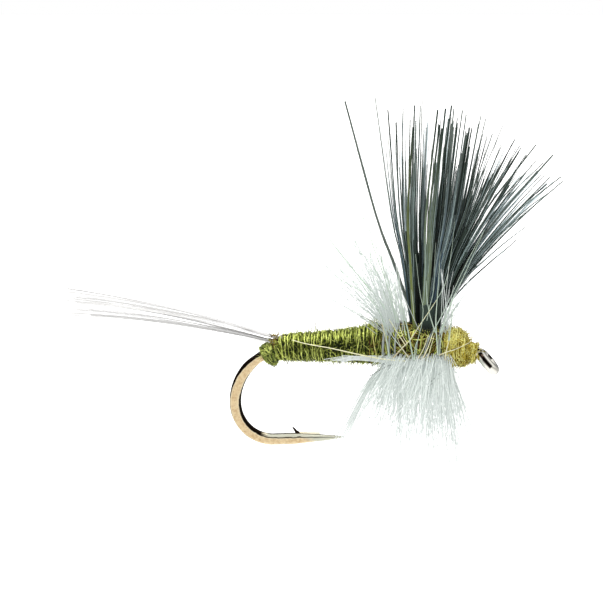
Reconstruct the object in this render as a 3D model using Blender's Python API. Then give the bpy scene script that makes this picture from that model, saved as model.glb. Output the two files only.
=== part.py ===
"""A thorax-style dry fly, tied on a down-eye hook, as an assembly of separate solids.

Run it with blender --background --python part.py, or from Blender's text editor.

Metres, +Z up. The fly looks along +X, with its hook in the XZ plane. The origin is the centre of the hook's
eye. Places along the hook are distances along the wire, counted back from where the shank joins the eye, and
a place around the wire is an angle from its upper side towards +Y. Everything that is tied on lies on what is
under it: thread base on wire, fibre butts on thread base, tying thread on the butts, dubbing over all of it.
"""

import math
import random

import bmesh
import bpy
from mathutils import Matrix, Vector

MM = 0.001
ACROSS = Vector((0, 1, 0))

# Clearance between two pieces that touch on the real fly. The whole fly is 20 mm long and its thread is
# 0.06 mm thick, so this is about a fifth of a thread.
SEAT = 0.015 * MM

# Hook
WIRE_DIAMETER = 0.41 * MM
SHANK_LENGTH = 7.60 * MM  # the straight part
GAPE = 3.66 * MM  # from the middle of the shank to the middle of the spear
UPPER_BEND_RADIUS = 2.13 * MM
SPEAR_LENGTH = 2.93 * MM
SPEAR_RISE = math.radians(2.3)
FORGED_THICKNESS = 0.32 * MM  # between the two hammered flats of the bend
FORGED_WIDTH = 0.47 * MM
FORGING_STARTS = math.radians(34)  # round the bend
POINT_DIAMETER = 0.036 * MM
TAPER_LENGTH = 2.1 * MM
BARB_FROM_POINT = 1.85 * MM
BARB_HEIGHT = 0.21 * MM
BARB_LENGTH = 0.80 * MM
BARB_THICKNESS = 0.10 * MM

# Eye
EYE_DIAMETER = 1.25 * MM  # outside
EYE_WIRE_DIAMETER = 0.36 * MM
EYE_TILT = math.radians(50)  # below the shank
EYE_GAP = 0.05 * MM  # where the end of the wire meets the shank
NECK_TURN = math.radians(20)
NECK_RADIUS = 1.16 * MM
NECK_DIAMETER = 0.30 * MM  # where the shank goes into the eye

# Thread
THREAD_DIAMETER = 0.06 * MM
BASE_PITCH = 0.70 * MM
WRAP_PITCH = 0.072 * MM
TAIL_WRAPS = 4
WING_WRAPS = 4
POST_WRAPS = 3

# Lengths along the wire, from the eye backwards
WHIP_START = 0.19 * MM
WHIP_LENGTH = 0.30 * MM
HEAD_LENGTH = 0.92 * MM
THORAX_LENGTH = 2.60 * MM
ABDOMEN_OVERHANG = 0.41 * MM  # past the end of the straight shank, so its length follows the shank's
PROP_LENGTH = 0.58 * MM

# Thickness of what is wound over the wire
HEAD_FRONT_WALL = 0.24 * MM
HEAD_BACK_WALL = 0.45 * MM
HEAD_BACK_LIFT = 0.24 * MM
WHIP_WALL = 0.13 * MM
THORAX_WALL = 0.20 * MM
ABDOMEN_FRONT_WALL = 0.16 * MM
ABDOMEN_BACK_WALL = 0.10 * MM
PROP_WALL = 0.13 * MM
BODY_RISE = 0.045 * MM  # more dubbing lies over the shank than under it
DUBBING_TURNS = 20
DUBBING_RIB = 0.035 * MM  # depth of the groove between two turns
HEAD_TURNS = 6

# Tail
TAIL_FIBRE_DIAMETER = 0.056 * MM
TAIL_LENGTH = 8.9 * MM  # behind the abdomen
TAIL_BUTT_LENGTH = 3.0 * MM
TAIL_SLOPES = (0.190, 0.270, 0.280, 0.262, 0.255, 0.295, 0.312, 0.302)
TAIL_DROOP = 0.098  # share of a fibre's length by which its curl brings its tip down
TAIL_LOWER_ROW = 5
TAIL_UPPER_ROW = 3
TAIL_STEP = math.radians(15)  # between the fibres of a row, around the shank
TAIL_FAN = math.radians(7.5)  # each way, for the outermost fibre

# Wing
WING_FROM_HEAD = 0.85 * MM  # from the thorax's front to the middle of the wing
WING_FIBRE_DIAMETER = 0.070 * MM
WING_TIP_DIAMETER = 0.024 * MM
WING_COLUMNS = 5
WING_ROWS = 5
WING_COLUMN_STEP = 0.17 * MM
WING_BUTT_LENGTH = 2.5 * MM
WING_TURN_RADIUS = 0.13 * MM  # where a fibre turns up from the shank
WING_STRAY_ANGLE = math.radians(-19)  # the rearmost fibre stands apart
WING_BACK_ANGLE = math.radians(-12)
WING_FRONT_ANGLE = math.radians(43)
WING_CURL = math.radians(7)  # how far a fibre turns forward from root to tip
WING_BACK_LENGTH = 9.4 * MM
WING_FRONT_LENGTH = 7.9 * MM
WING_SPREAD = math.radians(6.5)  # each way across the fly

# Hackle
QUILL_DIAMETER = 0.10 * MM
QUILL_TIP_DIAMETER = 0.05 * MM
BARB_BASE_DIAMETER = 0.05 * MM
BARB_TIP_DIAMETER = 0.018 * MM
BACK_TURNS = 2.5
FRONT_TURNS = 1.5
BARBS_PER_TURN = 18
BACK_HACKLE_LENGTH = 0.62 * MM  # of thorax that the turns behind the wing take up
FRONT_HACKLE_LENGTH = 0.15 * MM
HACKLE_MARGIN = 0.09 * MM  # from each end of the thorax to the nearest turn
UPPER_BARB_LENGTH = 6.2 * MM
LOWER_BARB_LENGTH = 4.5 * MM

WIRE_SIDES = 16
BODY_SIDES = 16
COIL_POINTS = 12  # to a turn
ROUND = math.cos(math.pi / BODY_SIDES)  # a polygon's flats lie this share of its radius from its middle

BRONZE = ("hook_bronze", (0.62, 0.47, 0.27), 0.28, 1.0)
OLIVE_THREAD = ("olive_thread", (0.20, 0.24, 0.05), 0.7, 0.0)
GOLD_THREAD = ("gold_thread", (0.62, 0.48, 0.16), 0.75, 0.0)
OLIVE_DUBBING = ("olive_dubbing", (0.30, 0.36, 0.04), 0.9, 0.0)
THORAX_DUBBING = ("thorax_dubbing", (0.33, 0.30, 0.06), 0.9, 0.0)
PALE_BARB = ("pale_dun_barb", (0.80, 0.82, 0.80), 0.45, 0.0)
TAIL_BARB = ("tail_barb", (0.72, 0.71, 0.70), 0.45, 0.0)
SLATE_FIBRE = ("slate_fibre", (0.10, 0.13, 0.14), 0.5, 0.0)


def clear_scene():
    for obj in list(bpy.data.objects):
        bpy.data.objects.remove(obj, do_unlink=True)


def material_of(name, colour, roughness, metallic):
    material = bpy.data.materials.get(name)
    if material is None:
        material = bpy.data.materials.new(name)
        material.use_nodes = True
        shader = material.node_tree.nodes["Principled BSDF"]
        shader.inputs["Base Color"].default_value = (*colour, 1.0)
        shader.inputs["Roughness"].default_value = roughness
        shader.inputs["Metallic"].default_value = metallic
    return material


def add_object(name, data, finish):
    obj = bpy.data.objects.new(name, data)
    bpy.context.scene.collection.objects.link(obj)
    data.materials.append(material_of(*finish))
    return obj


def mesh_object(name, bm, finish):
    bmesh.ops.recalc_face_normals(bm, faces=bm.faces)
    mesh = bpy.data.meshes.new(name)
    bm.to_mesh(mesh)
    bm.free()
    mesh.shade_smooth()
    mesh.set_sharp_from_angle(angle=math.radians(50))
    return add_object(name, mesh, finish)


def helper(obj):
    """A shape that only cuts or joins another one."""
    obj.hide_render = True
    obj.display_type = "WIRE"
    return obj


def boolean(obj, other, operation):
    modifier = obj.modifiers.new(other.name, "BOOLEAN")
    modifier.operation = operation
    modifier.object = helper(other)
    modifier.solver = "EXACT"


# The wire's centreline: neck, shank, two arcs of bend and the spear


def eye_ring_radius():
    return (EYE_DIAMETER - EYE_WIRE_DIAMETER) / 2


def eye_down():
    """The direction that the eye points, in the plane of the hook."""
    return Vector((math.cos(EYE_TILT), 0, -math.sin(EYE_TILT)))


def wire_stretches():
    """(length, radius, heading at its start) of each stretch. The heading is the angle above straight back."""
    lower_radius = GAPE - UPPER_BEND_RADIUS
    quarter = math.pi / 2
    return [
        (NECK_RADIUS * NECK_TURN, NECK_RADIUS, NECK_TURN),
        (SHANK_LENGTH, None, 0.0),
        (UPPER_BEND_RADIUS * quarter, UPPER_BEND_RADIUS, 0.0),
        (lower_radius * (quarter + SPEAR_RISE), lower_radius, -quarter),
        (SPEAR_LENGTH, None, -2 * quarter - SPEAR_RISE),
    ]


NECK_LENGTH = NECK_RADIUS * NECK_TURN
BEND_START = NECK_LENGTH + SHANK_LENGTH
SPEAR_START = sum(length for length, _, _ in wire_stretches()[:4])
WIRE_END = SPEAR_START + SPEAR_LENGTH


def wire_frame(along):
    """The frame at a distance along the wire: local X is across, local Y the outer side, local Z backwards."""
    place = -eye_ring_radius() * eye_down()
    left = along
    for length, radius, heading in wire_stretches():
        run = min(left, length)
        turned = heading if radius is None else heading - run / radius
        if radius is None:
            place += run * Vector((-math.cos(heading), 0, math.sin(heading)))
        else:
            place += radius * Vector(
                (math.sin(turned) - math.sin(heading), 0, math.cos(turned) - math.cos(heading))
            )
        left -= run
        if left <= 0:
            break
    back = Vector((-math.cos(turned), 0, math.sin(turned)))
    outer = Vector((math.sin(turned), 0, math.cos(turned)))
    return Matrix.Translation(place) @ Matrix((ACROSS, outer, back)).transposed().to_4x4()


def around_wire(along, angle, radius, lift=0.0):
    """A point around the wire. The circle's middle is lifted off the wire's."""
    return wire_frame(along) @ Vector((radius * math.sin(angle), lift + radius * math.cos(angle), 0))


def above_shank(along, across, height):
    """A point over the straight shank, also past its ends, where the wire itself turns away."""
    shank = wire_frame(NECK_LENGTH)
    return shank @ Vector((across, height, along - NECK_LENGTH))


# Skins and tubes


def ring_of(bm, sides, radius, frame, half_thickness=None, lift=0.0):
    """One ring of a skin, across a frame. half_thickness flattens its two sides."""
    made = bmesh.ops.create_circle(bm, segments=sides, radius=radius)["verts"]
    for vert in made:
        if half_thickness is not None:
            vert.co.x = max(-half_thickness, min(half_thickness, vert.co.x))
        vert.co = frame @ Vector((vert.co.x, vert.co.y + lift, 0))
    return made


def skin(bm, first, second):
    """Joins two rings of as many points with a band of faces."""
    for place in range(len(first)):
        after = (place + 1) % len(first)
        bm.faces.new((first[place], first[after], second[after], second[place]))


def sleeve(name, outside, inside, finish):
    """A closed tube over the wire. Each section is (along, radius, lift of its middle)."""
    bm = bmesh.new()
    rings = [
        ring_of(bm, BODY_SIDES, radius, wire_frame(along), lift=lift)
        for along, radius, lift in outside + inside[::-1]
    ]
    for first, second in zip(rings, rings[1:] + rings[:1]):
        skin(bm, first, second)
    return mesh_object(name, bm, finish)


def tube(name, points, radii, finish, resolution=1):
    """A curve with a round bevel, whose radius follows radii from point to point."""
    curve = bpy.data.curves.new(name, "CURVE")
    curve.dimensions = "3D"
    curve.bevel_depth = max(radii)
    curve.bevel_resolution = resolution
    curve.use_fill_caps = True
    spline = curve.splines.new("POLY")
    spline.points.add(len(points) - 1)
    for point, place, radius in zip(spline.points, points, radii):
        point.co = (*place, 1.0)
        point.radius = radius / curve.bevel_depth
    return add_object(name, curve, finish)


# How round things lie on each other. Radii are measured from the middle of the wire or of the ring


def coil_radius(inside):
    """The radius of a coil's own line, so that its straight stretches clear what it is wound on."""
    return (inside + SEAT + THREAD_DIAMETER / 2) / math.cos(math.pi / COIL_POINTS)


def over_coil(inside):
    return coil_radius(inside) + THREAD_DIAMETER / 2


def bore_over(inside):
    """The corner radius of a many-sided bore that clears a round thing of that radius."""
    return (inside + SEAT) / ROUND


def ring_around(bottom, top, half_width):
    """(radius, lift) of the circle through the lowest point and the two upper corners of a bundle."""
    lift = (top**2 + half_width**2 - bottom**2) / (2 * (top + bottom))
    return lift + bottom, lift


WIRE_RADIUS = WIRE_DIAMETER / 2
BASE_TOP = over_coil(WIRE_RADIUS)

TAIL_RADIUS = TAIL_FIBRE_DIAMETER / 2
TAIL_ROW_1 = BASE_TOP + SEAT + TAIL_RADIUS
TAIL_ROW_2 = TAIL_ROW_1 + TAIL_FIBRE_DIAMETER + SEAT
TAIL_BUNDLE = ring_around(
    BASE_TOP,
    TAIL_ROW_2 + TAIL_RADIUS,
    TAIL_ROW_2 * math.sin(TAIL_STEP * (TAIL_UPPER_ROW - 1) / 2) + TAIL_RADIUS,
)

WING_RADIUS = WING_FIBRE_DIAMETER / 2
WING_LAYER_STEP = WING_FIBRE_DIAMETER + SEAT
WING_BUNDLE_TOP = BASE_TOP + SEAT + WING_FIBRE_DIAMETER + (WING_COLUMNS - 1) * WING_LAYER_STEP
WING_BUNDLE_HALF = (WING_ROWS - 1) / 2 * WING_LAYER_STEP + WING_RADIUS
WING_BUNDLE = ring_around(BASE_TOP, WING_BUNDLE_TOP, WING_BUNDLE_HALF)

SMALL_BORE = (bore_over(BASE_TOP), 0.0)
TAIL_BORE = (bore_over(over_coil(TAIL_BUNDLE[0])), TAIL_BUNDLE[1])
WING_BORE = (bore_over(over_coil(WING_BUNDLE[0])), WING_BUNDLE[1])

WHIP = (WHIP_START, WHIP_START + WHIP_LENGTH)
HEAD = (WHIP[1] + SEAT, WHIP[1] + SEAT + HEAD_LENGTH)
THORAX = (HEAD[1] + SEAT, HEAD[1] + SEAT + THORAX_LENGTH)
ABDOMEN = (THORAX[1] + SEAT, BEND_START + ABDOMEN_OVERHANG)
PROP = (ABDOMEN[1] + SEAT, ABDOMEN[1] + SEAT + PROP_LENGTH)

WING_MIDDLE = THORAX[0] + WING_FROM_HEAD
WING_HALF_LENGTH = (WING_COLUMNS - 1) / 2 * WING_COLUMN_STEP
WING_UPRIGHT = WING_BUNDLE_TOP + WING_TURN_RADIUS  # height at which the last fibre has turned up
THORAX_TOP = THORAX_WALL + WING_BORE[0] + WING_BORE[1]
WING_ROOT = max(THORAX_TOP, WING_UPRIGHT + POST_WRAPS * WRAP_PITCH + THREAD_DIAMETER + 2 * SEAT)


# The hook


def wire_radius_at(along):
    """Half the wire's width in the plane of the hook: neck, shank, forged bend and tapering point."""
    if along < NECK_LENGTH:
        share = along / NECK_LENGTH
        return (NECK_DIAMETER + share * (WIRE_DIAMETER - NECK_DIAMETER)) / 2
    forged = BEND_START + UPPER_BEND_RADIUS * FORGING_STARTS
    share = max(0.0, min(1.0, (along - forged) / WIRE_DIAMETER))
    full = (WIRE_DIAMETER + share * (FORGED_WIDTH - WIRE_DIAMETER)) / 2
    left = max(0.0, WIRE_END - along) / TAPER_LENGTH
    if left >= 1:
        return full
    return POINT_DIAMETER / 2 + (full - POINT_DIAMETER / 2) * left**0.75


def half_thickness_at(along):
    """Half the wire's thickness across the hook. The bend is hammered flat on both sides."""
    forged = BEND_START + UPPER_BEND_RADIUS * FORGING_STARTS
    share = max(0.0, min(1.0, (along - forged) / WIRE_DIAMETER))
    return WIRE_RADIUS + share * (FORGED_THICKNESS / 2 - WIRE_RADIUS)


def wire_stations():
    bend_steps = 15
    taper_steps = 8
    forged = BEND_START + UPPER_BEND_RADIUS * FORGING_STARTS
    stations = [NECK_LENGTH * step / 3 for step in range(4)]
    for step in range(bend_steps):
        stations.append(BEND_START + (SPEAR_START - BEND_START) * step / bend_steps)
    stations += [forged, forged + WIRE_DIAMETER, SPEAR_START]
    for step in range(taper_steps + 1):
        stations.append(WIRE_END - TAPER_LENGTH * (1 - step / taper_steps))
    return sorted(set(stations))


def make_wire():
    bm = bmesh.new()
    rings = [
        ring_of(bm, WIRE_SIDES, wire_radius_at(s), wire_frame(s), half_thickness_at(s))
        for s in wire_stations()
    ]
    for first, second in zip(rings, rings[1:]):
        skin(bm, first, second)
    bm.faces.new(rings[0])
    bm.faces.new(rings[-1])
    return mesh_object("hook", bm, BRONZE)


def make_eye_ring():
    """The wire's end, curled back until it nearly meets the shank again."""
    radius = eye_ring_radius()
    covered = math.asin((NECK_DIAMETER / 2 + EYE_GAP) / radius)
    sweep = 2 * math.pi - covered - math.asin(EYE_WIRE_DIAMETER / 4 / radius)
    steps = 24
    points = []
    for step in range(steps + 1):
        angle = sweep * step / steps
        points.append(radius * (-math.cos(angle) * eye_down() + math.sin(angle) * ACROSS))
    return tube("eye_ring", points, [EYE_WIRE_DIAMETER / 2] * len(points), BRONZE, resolution=4)


def make_barb():
    """A sliver of the spear, cut from the front and lifted on the side of the shank."""
    root = WIRE_END - BARB_FROM_POINT
    frame = wire_frame(root)
    surface = -wire_radius_at(root)
    outline = [
        (-BARB_LENGTH * 0.15, surface * 0.2),
        (-BARB_LENGTH * 0.45, surface - BARB_HEIGHT),
        (BARB_LENGTH * 0.10, surface - BARB_HEIGHT * 0.30),
        (BARB_LENGTH, surface * 0.55),
        (BARB_LENGTH * 0.5, surface * 0.2),
    ]
    bm = bmesh.new()
    side = [
        bm.verts.new(frame @ Vector((-BARB_THICKNESS / 2, outer, along))) for along, outer in outline
    ]
    made = bmesh.ops.extrude_face_region(bm, geom=[bm.faces.new(side)])
    moved = [part for part in made["geom"] if isinstance(part, bmesh.types.BMVert)]
    bmesh.ops.translate(bm, verts=moved, vec=BARB_THICKNESS * ACROSS)
    return mesh_object("barb", bm, BRONZE)


def make_hook():
    hook = make_wire()
    ring = make_eye_ring()
    ring_mesh = bpy.data.meshes.new_from_object(ring)
    bpy.data.objects.remove(ring, do_unlink=True)
    bm = bmesh.new()
    bm.from_mesh(ring_mesh)
    bmesh.ops.remove_doubles(bm, verts=bm.verts, dist=0.001 * MM)
    boolean(hook, mesh_object("eye_ring_shape", bm, BRONZE), "UNION")
    boolean(hook, make_barb(), "UNION")


# Thread


def coil(name, start, turns, pitch, inside, lift, finish):
    """Thread wound round the wire, from start backwards."""
    count = round(turns * COIL_POINTS)
    points = []
    for step in range(count + 1):
        turn = step / COIL_POINTS
        points.append(around_wire(start + turn * pitch, turn * 2 * math.pi, coil_radius(inside), lift))
    return tube(name, points, [THREAD_DIAMETER / 2] * len(points), finish, resolution=0)


def make_thread_base():
    start = WHIP[1] + THREAD_DIAMETER / 2 + SEAT
    end = PROP[1] - THREAD_DIAMETER
    turns = math.floor((end - start) / BASE_PITCH * COIL_POINTS) / COIL_POINTS
    coil("thread_base", start, turns, BASE_PITCH, WIRE_RADIUS, 0.0, OLIVE_THREAD)


def make_tail_wraps():
    start = BEND_START - TAIL_WRAPS * WRAP_PITCH - THREAD_DIAMETER
    coil("tail_wraps", start, TAIL_WRAPS, WRAP_PITCH, TAIL_BUNDLE[0], TAIL_BUNDLE[1], OLIVE_THREAD)


def make_wing_tie_wraps():
    back_column = WING_MIDDLE + WING_HALF_LENGTH + WING_TURN_RADIUS + WING_RADIUS
    start = back_column + 2 * THREAD_DIAMETER
    coil("wing_tie_wraps", start, WING_WRAPS, WRAP_PITCH, *WING_BUNDLE, OLIVE_THREAD)


def post_outline(grown):
    """(half length of the straight sides, end radius) of the oval round the wing's root."""
    straight = max(0.0, WING_HALF_LENGTH - (WING_BUNDLE_HALF - WING_RADIUS))
    corner = math.hypot(WING_HALF_LENGTH + WING_RADIUS - straight, WING_BUNDLE_HALF)
    return straight, corner + grown


def oval_point(turn, straight, radius):
    """A point of the oval, (along, across), where turn goes once round from 0 to 1."""
    angle = 2 * math.pi * turn
    along = straight * max(-1.0, min(1.0, 2.0 * math.cos(angle)))
    return along + radius * math.cos(angle), radius * math.sin(angle)


def make_wing_post_wraps():
    """A few turns round the foot of the upright fibres, which gather them."""
    straight, radius = post_outline(SEAT + THREAD_DIAMETER / 2)
    steps = 16
    points = []
    for step in range(POST_WRAPS * steps + 1):
        along, across = oval_point(step / steps, straight, radius / math.cos(math.pi / steps))
        height = WING_UPRIGHT + THREAD_DIAMETER / 2 + SEAT + WRAP_PITCH * step / steps
        points.append(above_shank(WING_MIDDLE + along, across, height))
    tube("wing_post_wraps", points, [THREAD_DIAMETER / 2] * len(points), GOLD_THREAD, resolution=0)


# Dubbing and head


def ribbed(start, end, turns, radius_at, lift_at):
    """Sections of a wound body: a crest and a groove for each turn."""
    sections = []
    for step in range(2 * turns + 1):
        share = step / (2 * turns)
        groove = DUBBING_RIB if step % 2 == 0 else 0.0
        sections.append((start + (end - start) * share, radius_at(share) - groove, lift_at(share)))
    return sections


def between(first, last):
    """A straight change from first to last, as a function of the share of the way."""
    return lambda share: first + (last - first) * share


def make_abdomen():
    wall_front = WING_BORE[0] + ABDOMEN_FRONT_WALL
    wall_back = TAIL_BORE[0] + ABDOMEN_BACK_WALL
    outside = ribbed(
        *ABDOMEN,
        DUBBING_TURNS,
        between(wall_front, wall_back),
        between(WING_BORE[1] + BODY_RISE, TAIL_BORE[1] + BODY_RISE),
    )
    butts_end = wing_butt_end(0) + 2 * THREAD_DIAMETER
    lip = TAIL_BORE[0] + ABDOMEN_BACK_WALL * 0.4
    inside = [
        (ABDOMEN[0], *WING_BORE),
        (butts_end, *WING_BORE),
        (butts_end + 3 * THREAD_DIAMETER, *TAIL_BORE),
        (ABDOMEN[1] - 3 * THREAD_DIAMETER, *TAIL_BORE),
        (ABDOMEN[1], lip, TAIL_BORE[1] + BODY_RISE / 2),
    ]
    sleeve("abdomen_dubbing", outside, inside, OLIVE_DUBBING)


def make_tail_prop():
    """The small lump behind the tail, on the start of the bend, which lifts and parts its fibres."""
    bore = bore_over(BASE_TOP + SEAT)
    radius = bore + PROP_WALL
    length = PROP[1] - PROP[0]
    outside = [
        (PROP[0], radius * 0.92, -0.085 * MM),
        (PROP[0] + 0.25 * length, radius, -0.07 * MM),
        (PROP[0] + 0.55 * length, radius, -0.03 * MM),
        (PROP[0] + 0.80 * length, radius * 0.92, 0.0),
        (PROP[1], bore + PROP_WALL * 0.3, 0.0),
    ]
    inside = [(PROP[0] + length * step / 3, bore, 0.0) for step in range(4)]
    sleeve("tail_prop_dubbing", outside, inside, OLIVE_DUBBING)


def make_wing_slot():
    """The cutter for the opening in the top of the thorax that the wing stands in."""
    straight, radius = post_outline(2 * SEAT + THREAD_DIAMETER)
    steps = 16
    bm = bmesh.new()
    outline = []
    for step in range(steps):
        along, across = oval_point(step / steps, straight, radius / math.cos(math.pi / steps) ** 2)
        outline.append(bm.verts.new(above_shank(WING_MIDDLE + along, across, WING_BORE[1])))
    made = bmesh.ops.extrude_face_region(bm, geom=[bm.faces.new(outline)])
    moved = [part for part in made["geom"] if isinstance(part, bmesh.types.BMVert)]
    bmesh.ops.translate(bm, verts=moved, vec=Vector((0, 0, 2 * THORAX_TOP)))
    return mesh_object("wing_slot", bm, THORAX_DUBBING)


def thorax_radius(along):
    """The dubbed thorax is fullest round the wing and meets the head and the abdomen at their own size."""
    full = WING_BORE[0] + THORAX_WALL
    front = SMALL_BORE[0] + HEAD_BACK_WALL
    back = WING_BORE[0] + ABDOMEN_FRONT_WALL
    shoulder = 0.25 * THORAX_LENGTH
    if along < THORAX[0] + shoulder:
        return front + (full - front) * (along - THORAX[0]) / shoulder
    if along > THORAX[1] - shoulder:
        return back + (full - back) * (THORAX[1] - along) / shoulder
    return full


def thorax_lift(along):
    share = (along - THORAX[0]) / THORAX_LENGTH
    middle = WING_BORE[1] + BODY_RISE
    return HEAD_BACK_LIFT + (middle - HEAD_BACK_LIFT) * min(1.0, 4 * share)


def make_thorax():
    steps = 10
    outside = []
    for step in range(steps + 1):
        along = THORAX[0] + THORAX_LENGTH * step / steps
        outside.append((along, thorax_radius(along), thorax_lift(along)))
    wing_front = WING_MIDDLE - WING_HALF_LENGTH - WING_RADIUS - 2 * THREAD_DIAMETER
    inside = [
        (THORAX[0], *SMALL_BORE),
        (wing_front - THREAD_DIAMETER, *SMALL_BORE),
        (wing_front, *WING_BORE),
        (THORAX[1], *WING_BORE),
    ]
    thorax = sleeve("thorax_dubbing", outside, inside, THORAX_DUBBING)
    boolean(thorax, make_wing_slot(), "DIFFERENCE")


def make_head():
    outside = ribbed(
        *HEAD,
        HEAD_TURNS,
        lambda share: SMALL_BORE[0] + HEAD_FRONT_WALL + (HEAD_BACK_WALL - HEAD_FRONT_WALL) * share**0.8,
        lambda share: HEAD_BACK_LIFT * share**1.2 - 0.03 * MM * (1 - share),
    )
    inside = [(HEAD[0], *SMALL_BORE), (HEAD[1], *SMALL_BORE)]
    sleeve("head_wraps", outside, inside, GOLD_THREAD)


def make_whip_finish():
    bore = bore_over(WIRE_RADIUS)
    outside = ribbed(*WHIP, 3, between(bore + WHIP_WALL, bore + 1.7 * WHIP_WALL), between(-0.04 * MM, 0.0))
    inside = [(WHIP[0], bore, 0.0), (WHIP[1], bore, 0.0)]
    sleeve("whip_finish", outside, inside, GOLD_THREAD)


# Fibres


def tail_fibre_points(angle, row_radius, sideways, slope, length):
    """One tail fibre: clipped butt, straight run on the shank, then the free part that fans and droops."""
    across = row_radius * math.sin(angle)
    height = row_radius * math.cos(angle)
    butt = max(BEND_START - TAIL_BUTT_LENGTH, wing_butt_end(0) + 2 * THREAD_DIAMETER)
    points = [above_shank(along, across, height) for along in (butt, BEND_START, ABDOMEN[1])]
    steps = 8
    for step in range(1, steps + 1):
        share = step / steps
        run = share * length
        rise = run * (slope - TAIL_DROOP * share)
        points.append(
            above_shank(ABDOMEN[1] + run, across + sideways * run * share**0.3, height + rise)
        )
    return points


def make_tail():
    rows = ((TAIL_LOWER_ROW, TAIL_ROW_1, 1.0), (TAIL_UPPER_ROW, TAIL_ROW_2, 0.7))
    shorter = (0.34, 0.09, 0.03, 0.06, 0.14, 0.0, 0.02, 0.10)
    number = 0
    for count, row_radius, fan in rows:
        middle = (count - 1) / 2
        for place in range(count):
            offset = place - middle
            points = tail_fibre_points(
                offset * TAIL_STEP,
                row_radius,
                math.tan(TAIL_FAN) * fan * offset / middle,
                TAIL_SLOPES[number],
                TAIL_LENGTH * (1 - shorter[number]),
            )
            taper = between(1.0, 0.3)
            radii = [TAIL_RADIUS * taper(step / (len(points) - 1)) for step in range(len(points))]
            number += 1
            tube(f"tail_fibre_{number}", points, radii, TAIL_BARB)


def wing_butt_end(layer):
    """How far back a layer of butts reaches. They are clipped to a slope, so that the body tapers."""
    back_column = WING_MIDDLE + WING_HALF_LENGTH
    return back_column + WING_BUTT_LENGTH * (1 - 0.10 * layer)


def wing_fibre_points(layer, row):
    """One wing fibre: butt on the shank, turned up at its column, gathered, then curving up and forward."""
    across = (row - (WING_ROWS - 1) / 2) * WING_LAYER_STEP
    low = BASE_TOP + SEAT + WING_RADIUS + layer * WING_LAYER_STEP
    column = WING_MIDDLE + (layer - (WING_COLUMNS - 1) / 2) * WING_COLUMN_STEP
    points = [above_shank(wing_butt_end(layer), across, low)]
    for quarter in (0.0, 0.5, 1.0):
        angle = quarter * math.pi / 2
        points.append(
            above_shank(
                column + WING_TURN_RADIUS * (1 - math.sin(angle)),
                across,
                low + WING_TURN_RADIUS * (1 - math.cos(angle)),
            )
        )
    points.append(above_shank(column, across, WING_ROOT))
    order = (WING_COLUMNS - 1 - layer) * WING_ROWS + (row * 2) % WING_ROWS
    share = order / (WING_COLUMNS * WING_ROWS - 1)
    lean = WING_BACK_ANGLE + (WING_FRONT_ANGLE - WING_BACK_ANGLE) * share
    if order == 0:
        lean = WING_STRAY_ANGLE
    length = WING_BACK_LENGTH + (WING_FRONT_LENGTH - WING_BACK_LENGTH) * share
    length *= 1 - 0.05 * ((order * 7) % 5) / 4
    side = WING_SPREAD * (row / ((WING_ROWS - 1) / 2) - 1)
    steps = 7
    place = points[-1]
    for step in range(steps):
        tilt = lean + WING_CURL * ((step + 0.5) / steps - 0.5)
        direction = Vector((math.sin(tilt), math.tan(side), math.cos(tilt))).normalized()
        place = place + direction * length / steps
        points.append(place)
    return points


def make_wing():
    for layer in range(WING_COLUMNS):
        for row in range(WING_ROWS):
            points = wing_fibre_points(layer, row)
            free = len(points) - 5
            radii = [WING_RADIUS] * 5
            for step in range(1, free + 1):
                radii.append(WING_RADIUS + (WING_TIP_DIAMETER / 2 - WING_RADIUS) * (step / free) ** 1.3)
            number = layer * WING_ROWS + row + 1
            tube(f"wing_fibre_{number:02d}", points, radii, SLATE_FIBRE)


# Hackle


def quill_place(turn):
    """Distance along the wire of the feather's stem after that many turns, counted from the back."""
    back_start = THORAX[1] - HACKLE_MARGIN
    back_end = back_start - BACK_HACKLE_LENGTH
    front_end = THORAX[0] + HACKLE_MARGIN
    front_start = front_end + FRONT_HACKLE_LENGTH
    if turn <= BACK_TURNS:
        return back_start + (back_end - back_start) * turn / BACK_TURNS
    if turn <= BACK_TURNS + 1:
        return back_end + (front_start - back_end) * (turn - BACK_TURNS)
    return front_start + (front_end - front_start) * (turn - BACK_TURNS - 1) / FRONT_TURNS


def quill_point(turn, radius):
    """The stem's middle. It starts under the fly, and crosses under the wing on its one long turn."""
    along = quill_place(turn)
    on_dubbing = thorax_radius(along) + SEAT + radius
    reach = on_dubbing / math.cos(math.pi / BARBS_PER_TURN)
    return around_wire(along, math.pi + turn * 2 * math.pi, reach, thorax_lift(along))


def barb_line(turn, chance):
    """(direction at the root, direction at the tip, length) of the barb at that place on the stem."""
    angle = math.pi + turn * 2 * math.pi
    upward = (1 + math.cos(angle)) / 2
    if turn < BACK_TURNS + 0.5:
        lean = 0.12 + 0.62 * upward
    else:
        lean = -0.08 - 0.85 * upward**6
    lean += chance.uniform(-0.14, 0.14)
    radial = Vector((0, math.sin(angle), math.cos(angle)))
    root = (radial + Vector((-lean * 0.6, 0, 0))).normalized()
    tip = (radial + Vector((-lean * 1.3, 0, -0.10))).normalized()
    length = LOWER_BARB_LENGTH + (UPPER_BARB_LENGTH - LOWER_BARB_LENGTH) * upward
    return root, tip, length * chance.uniform(0.86, 1.04)


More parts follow.
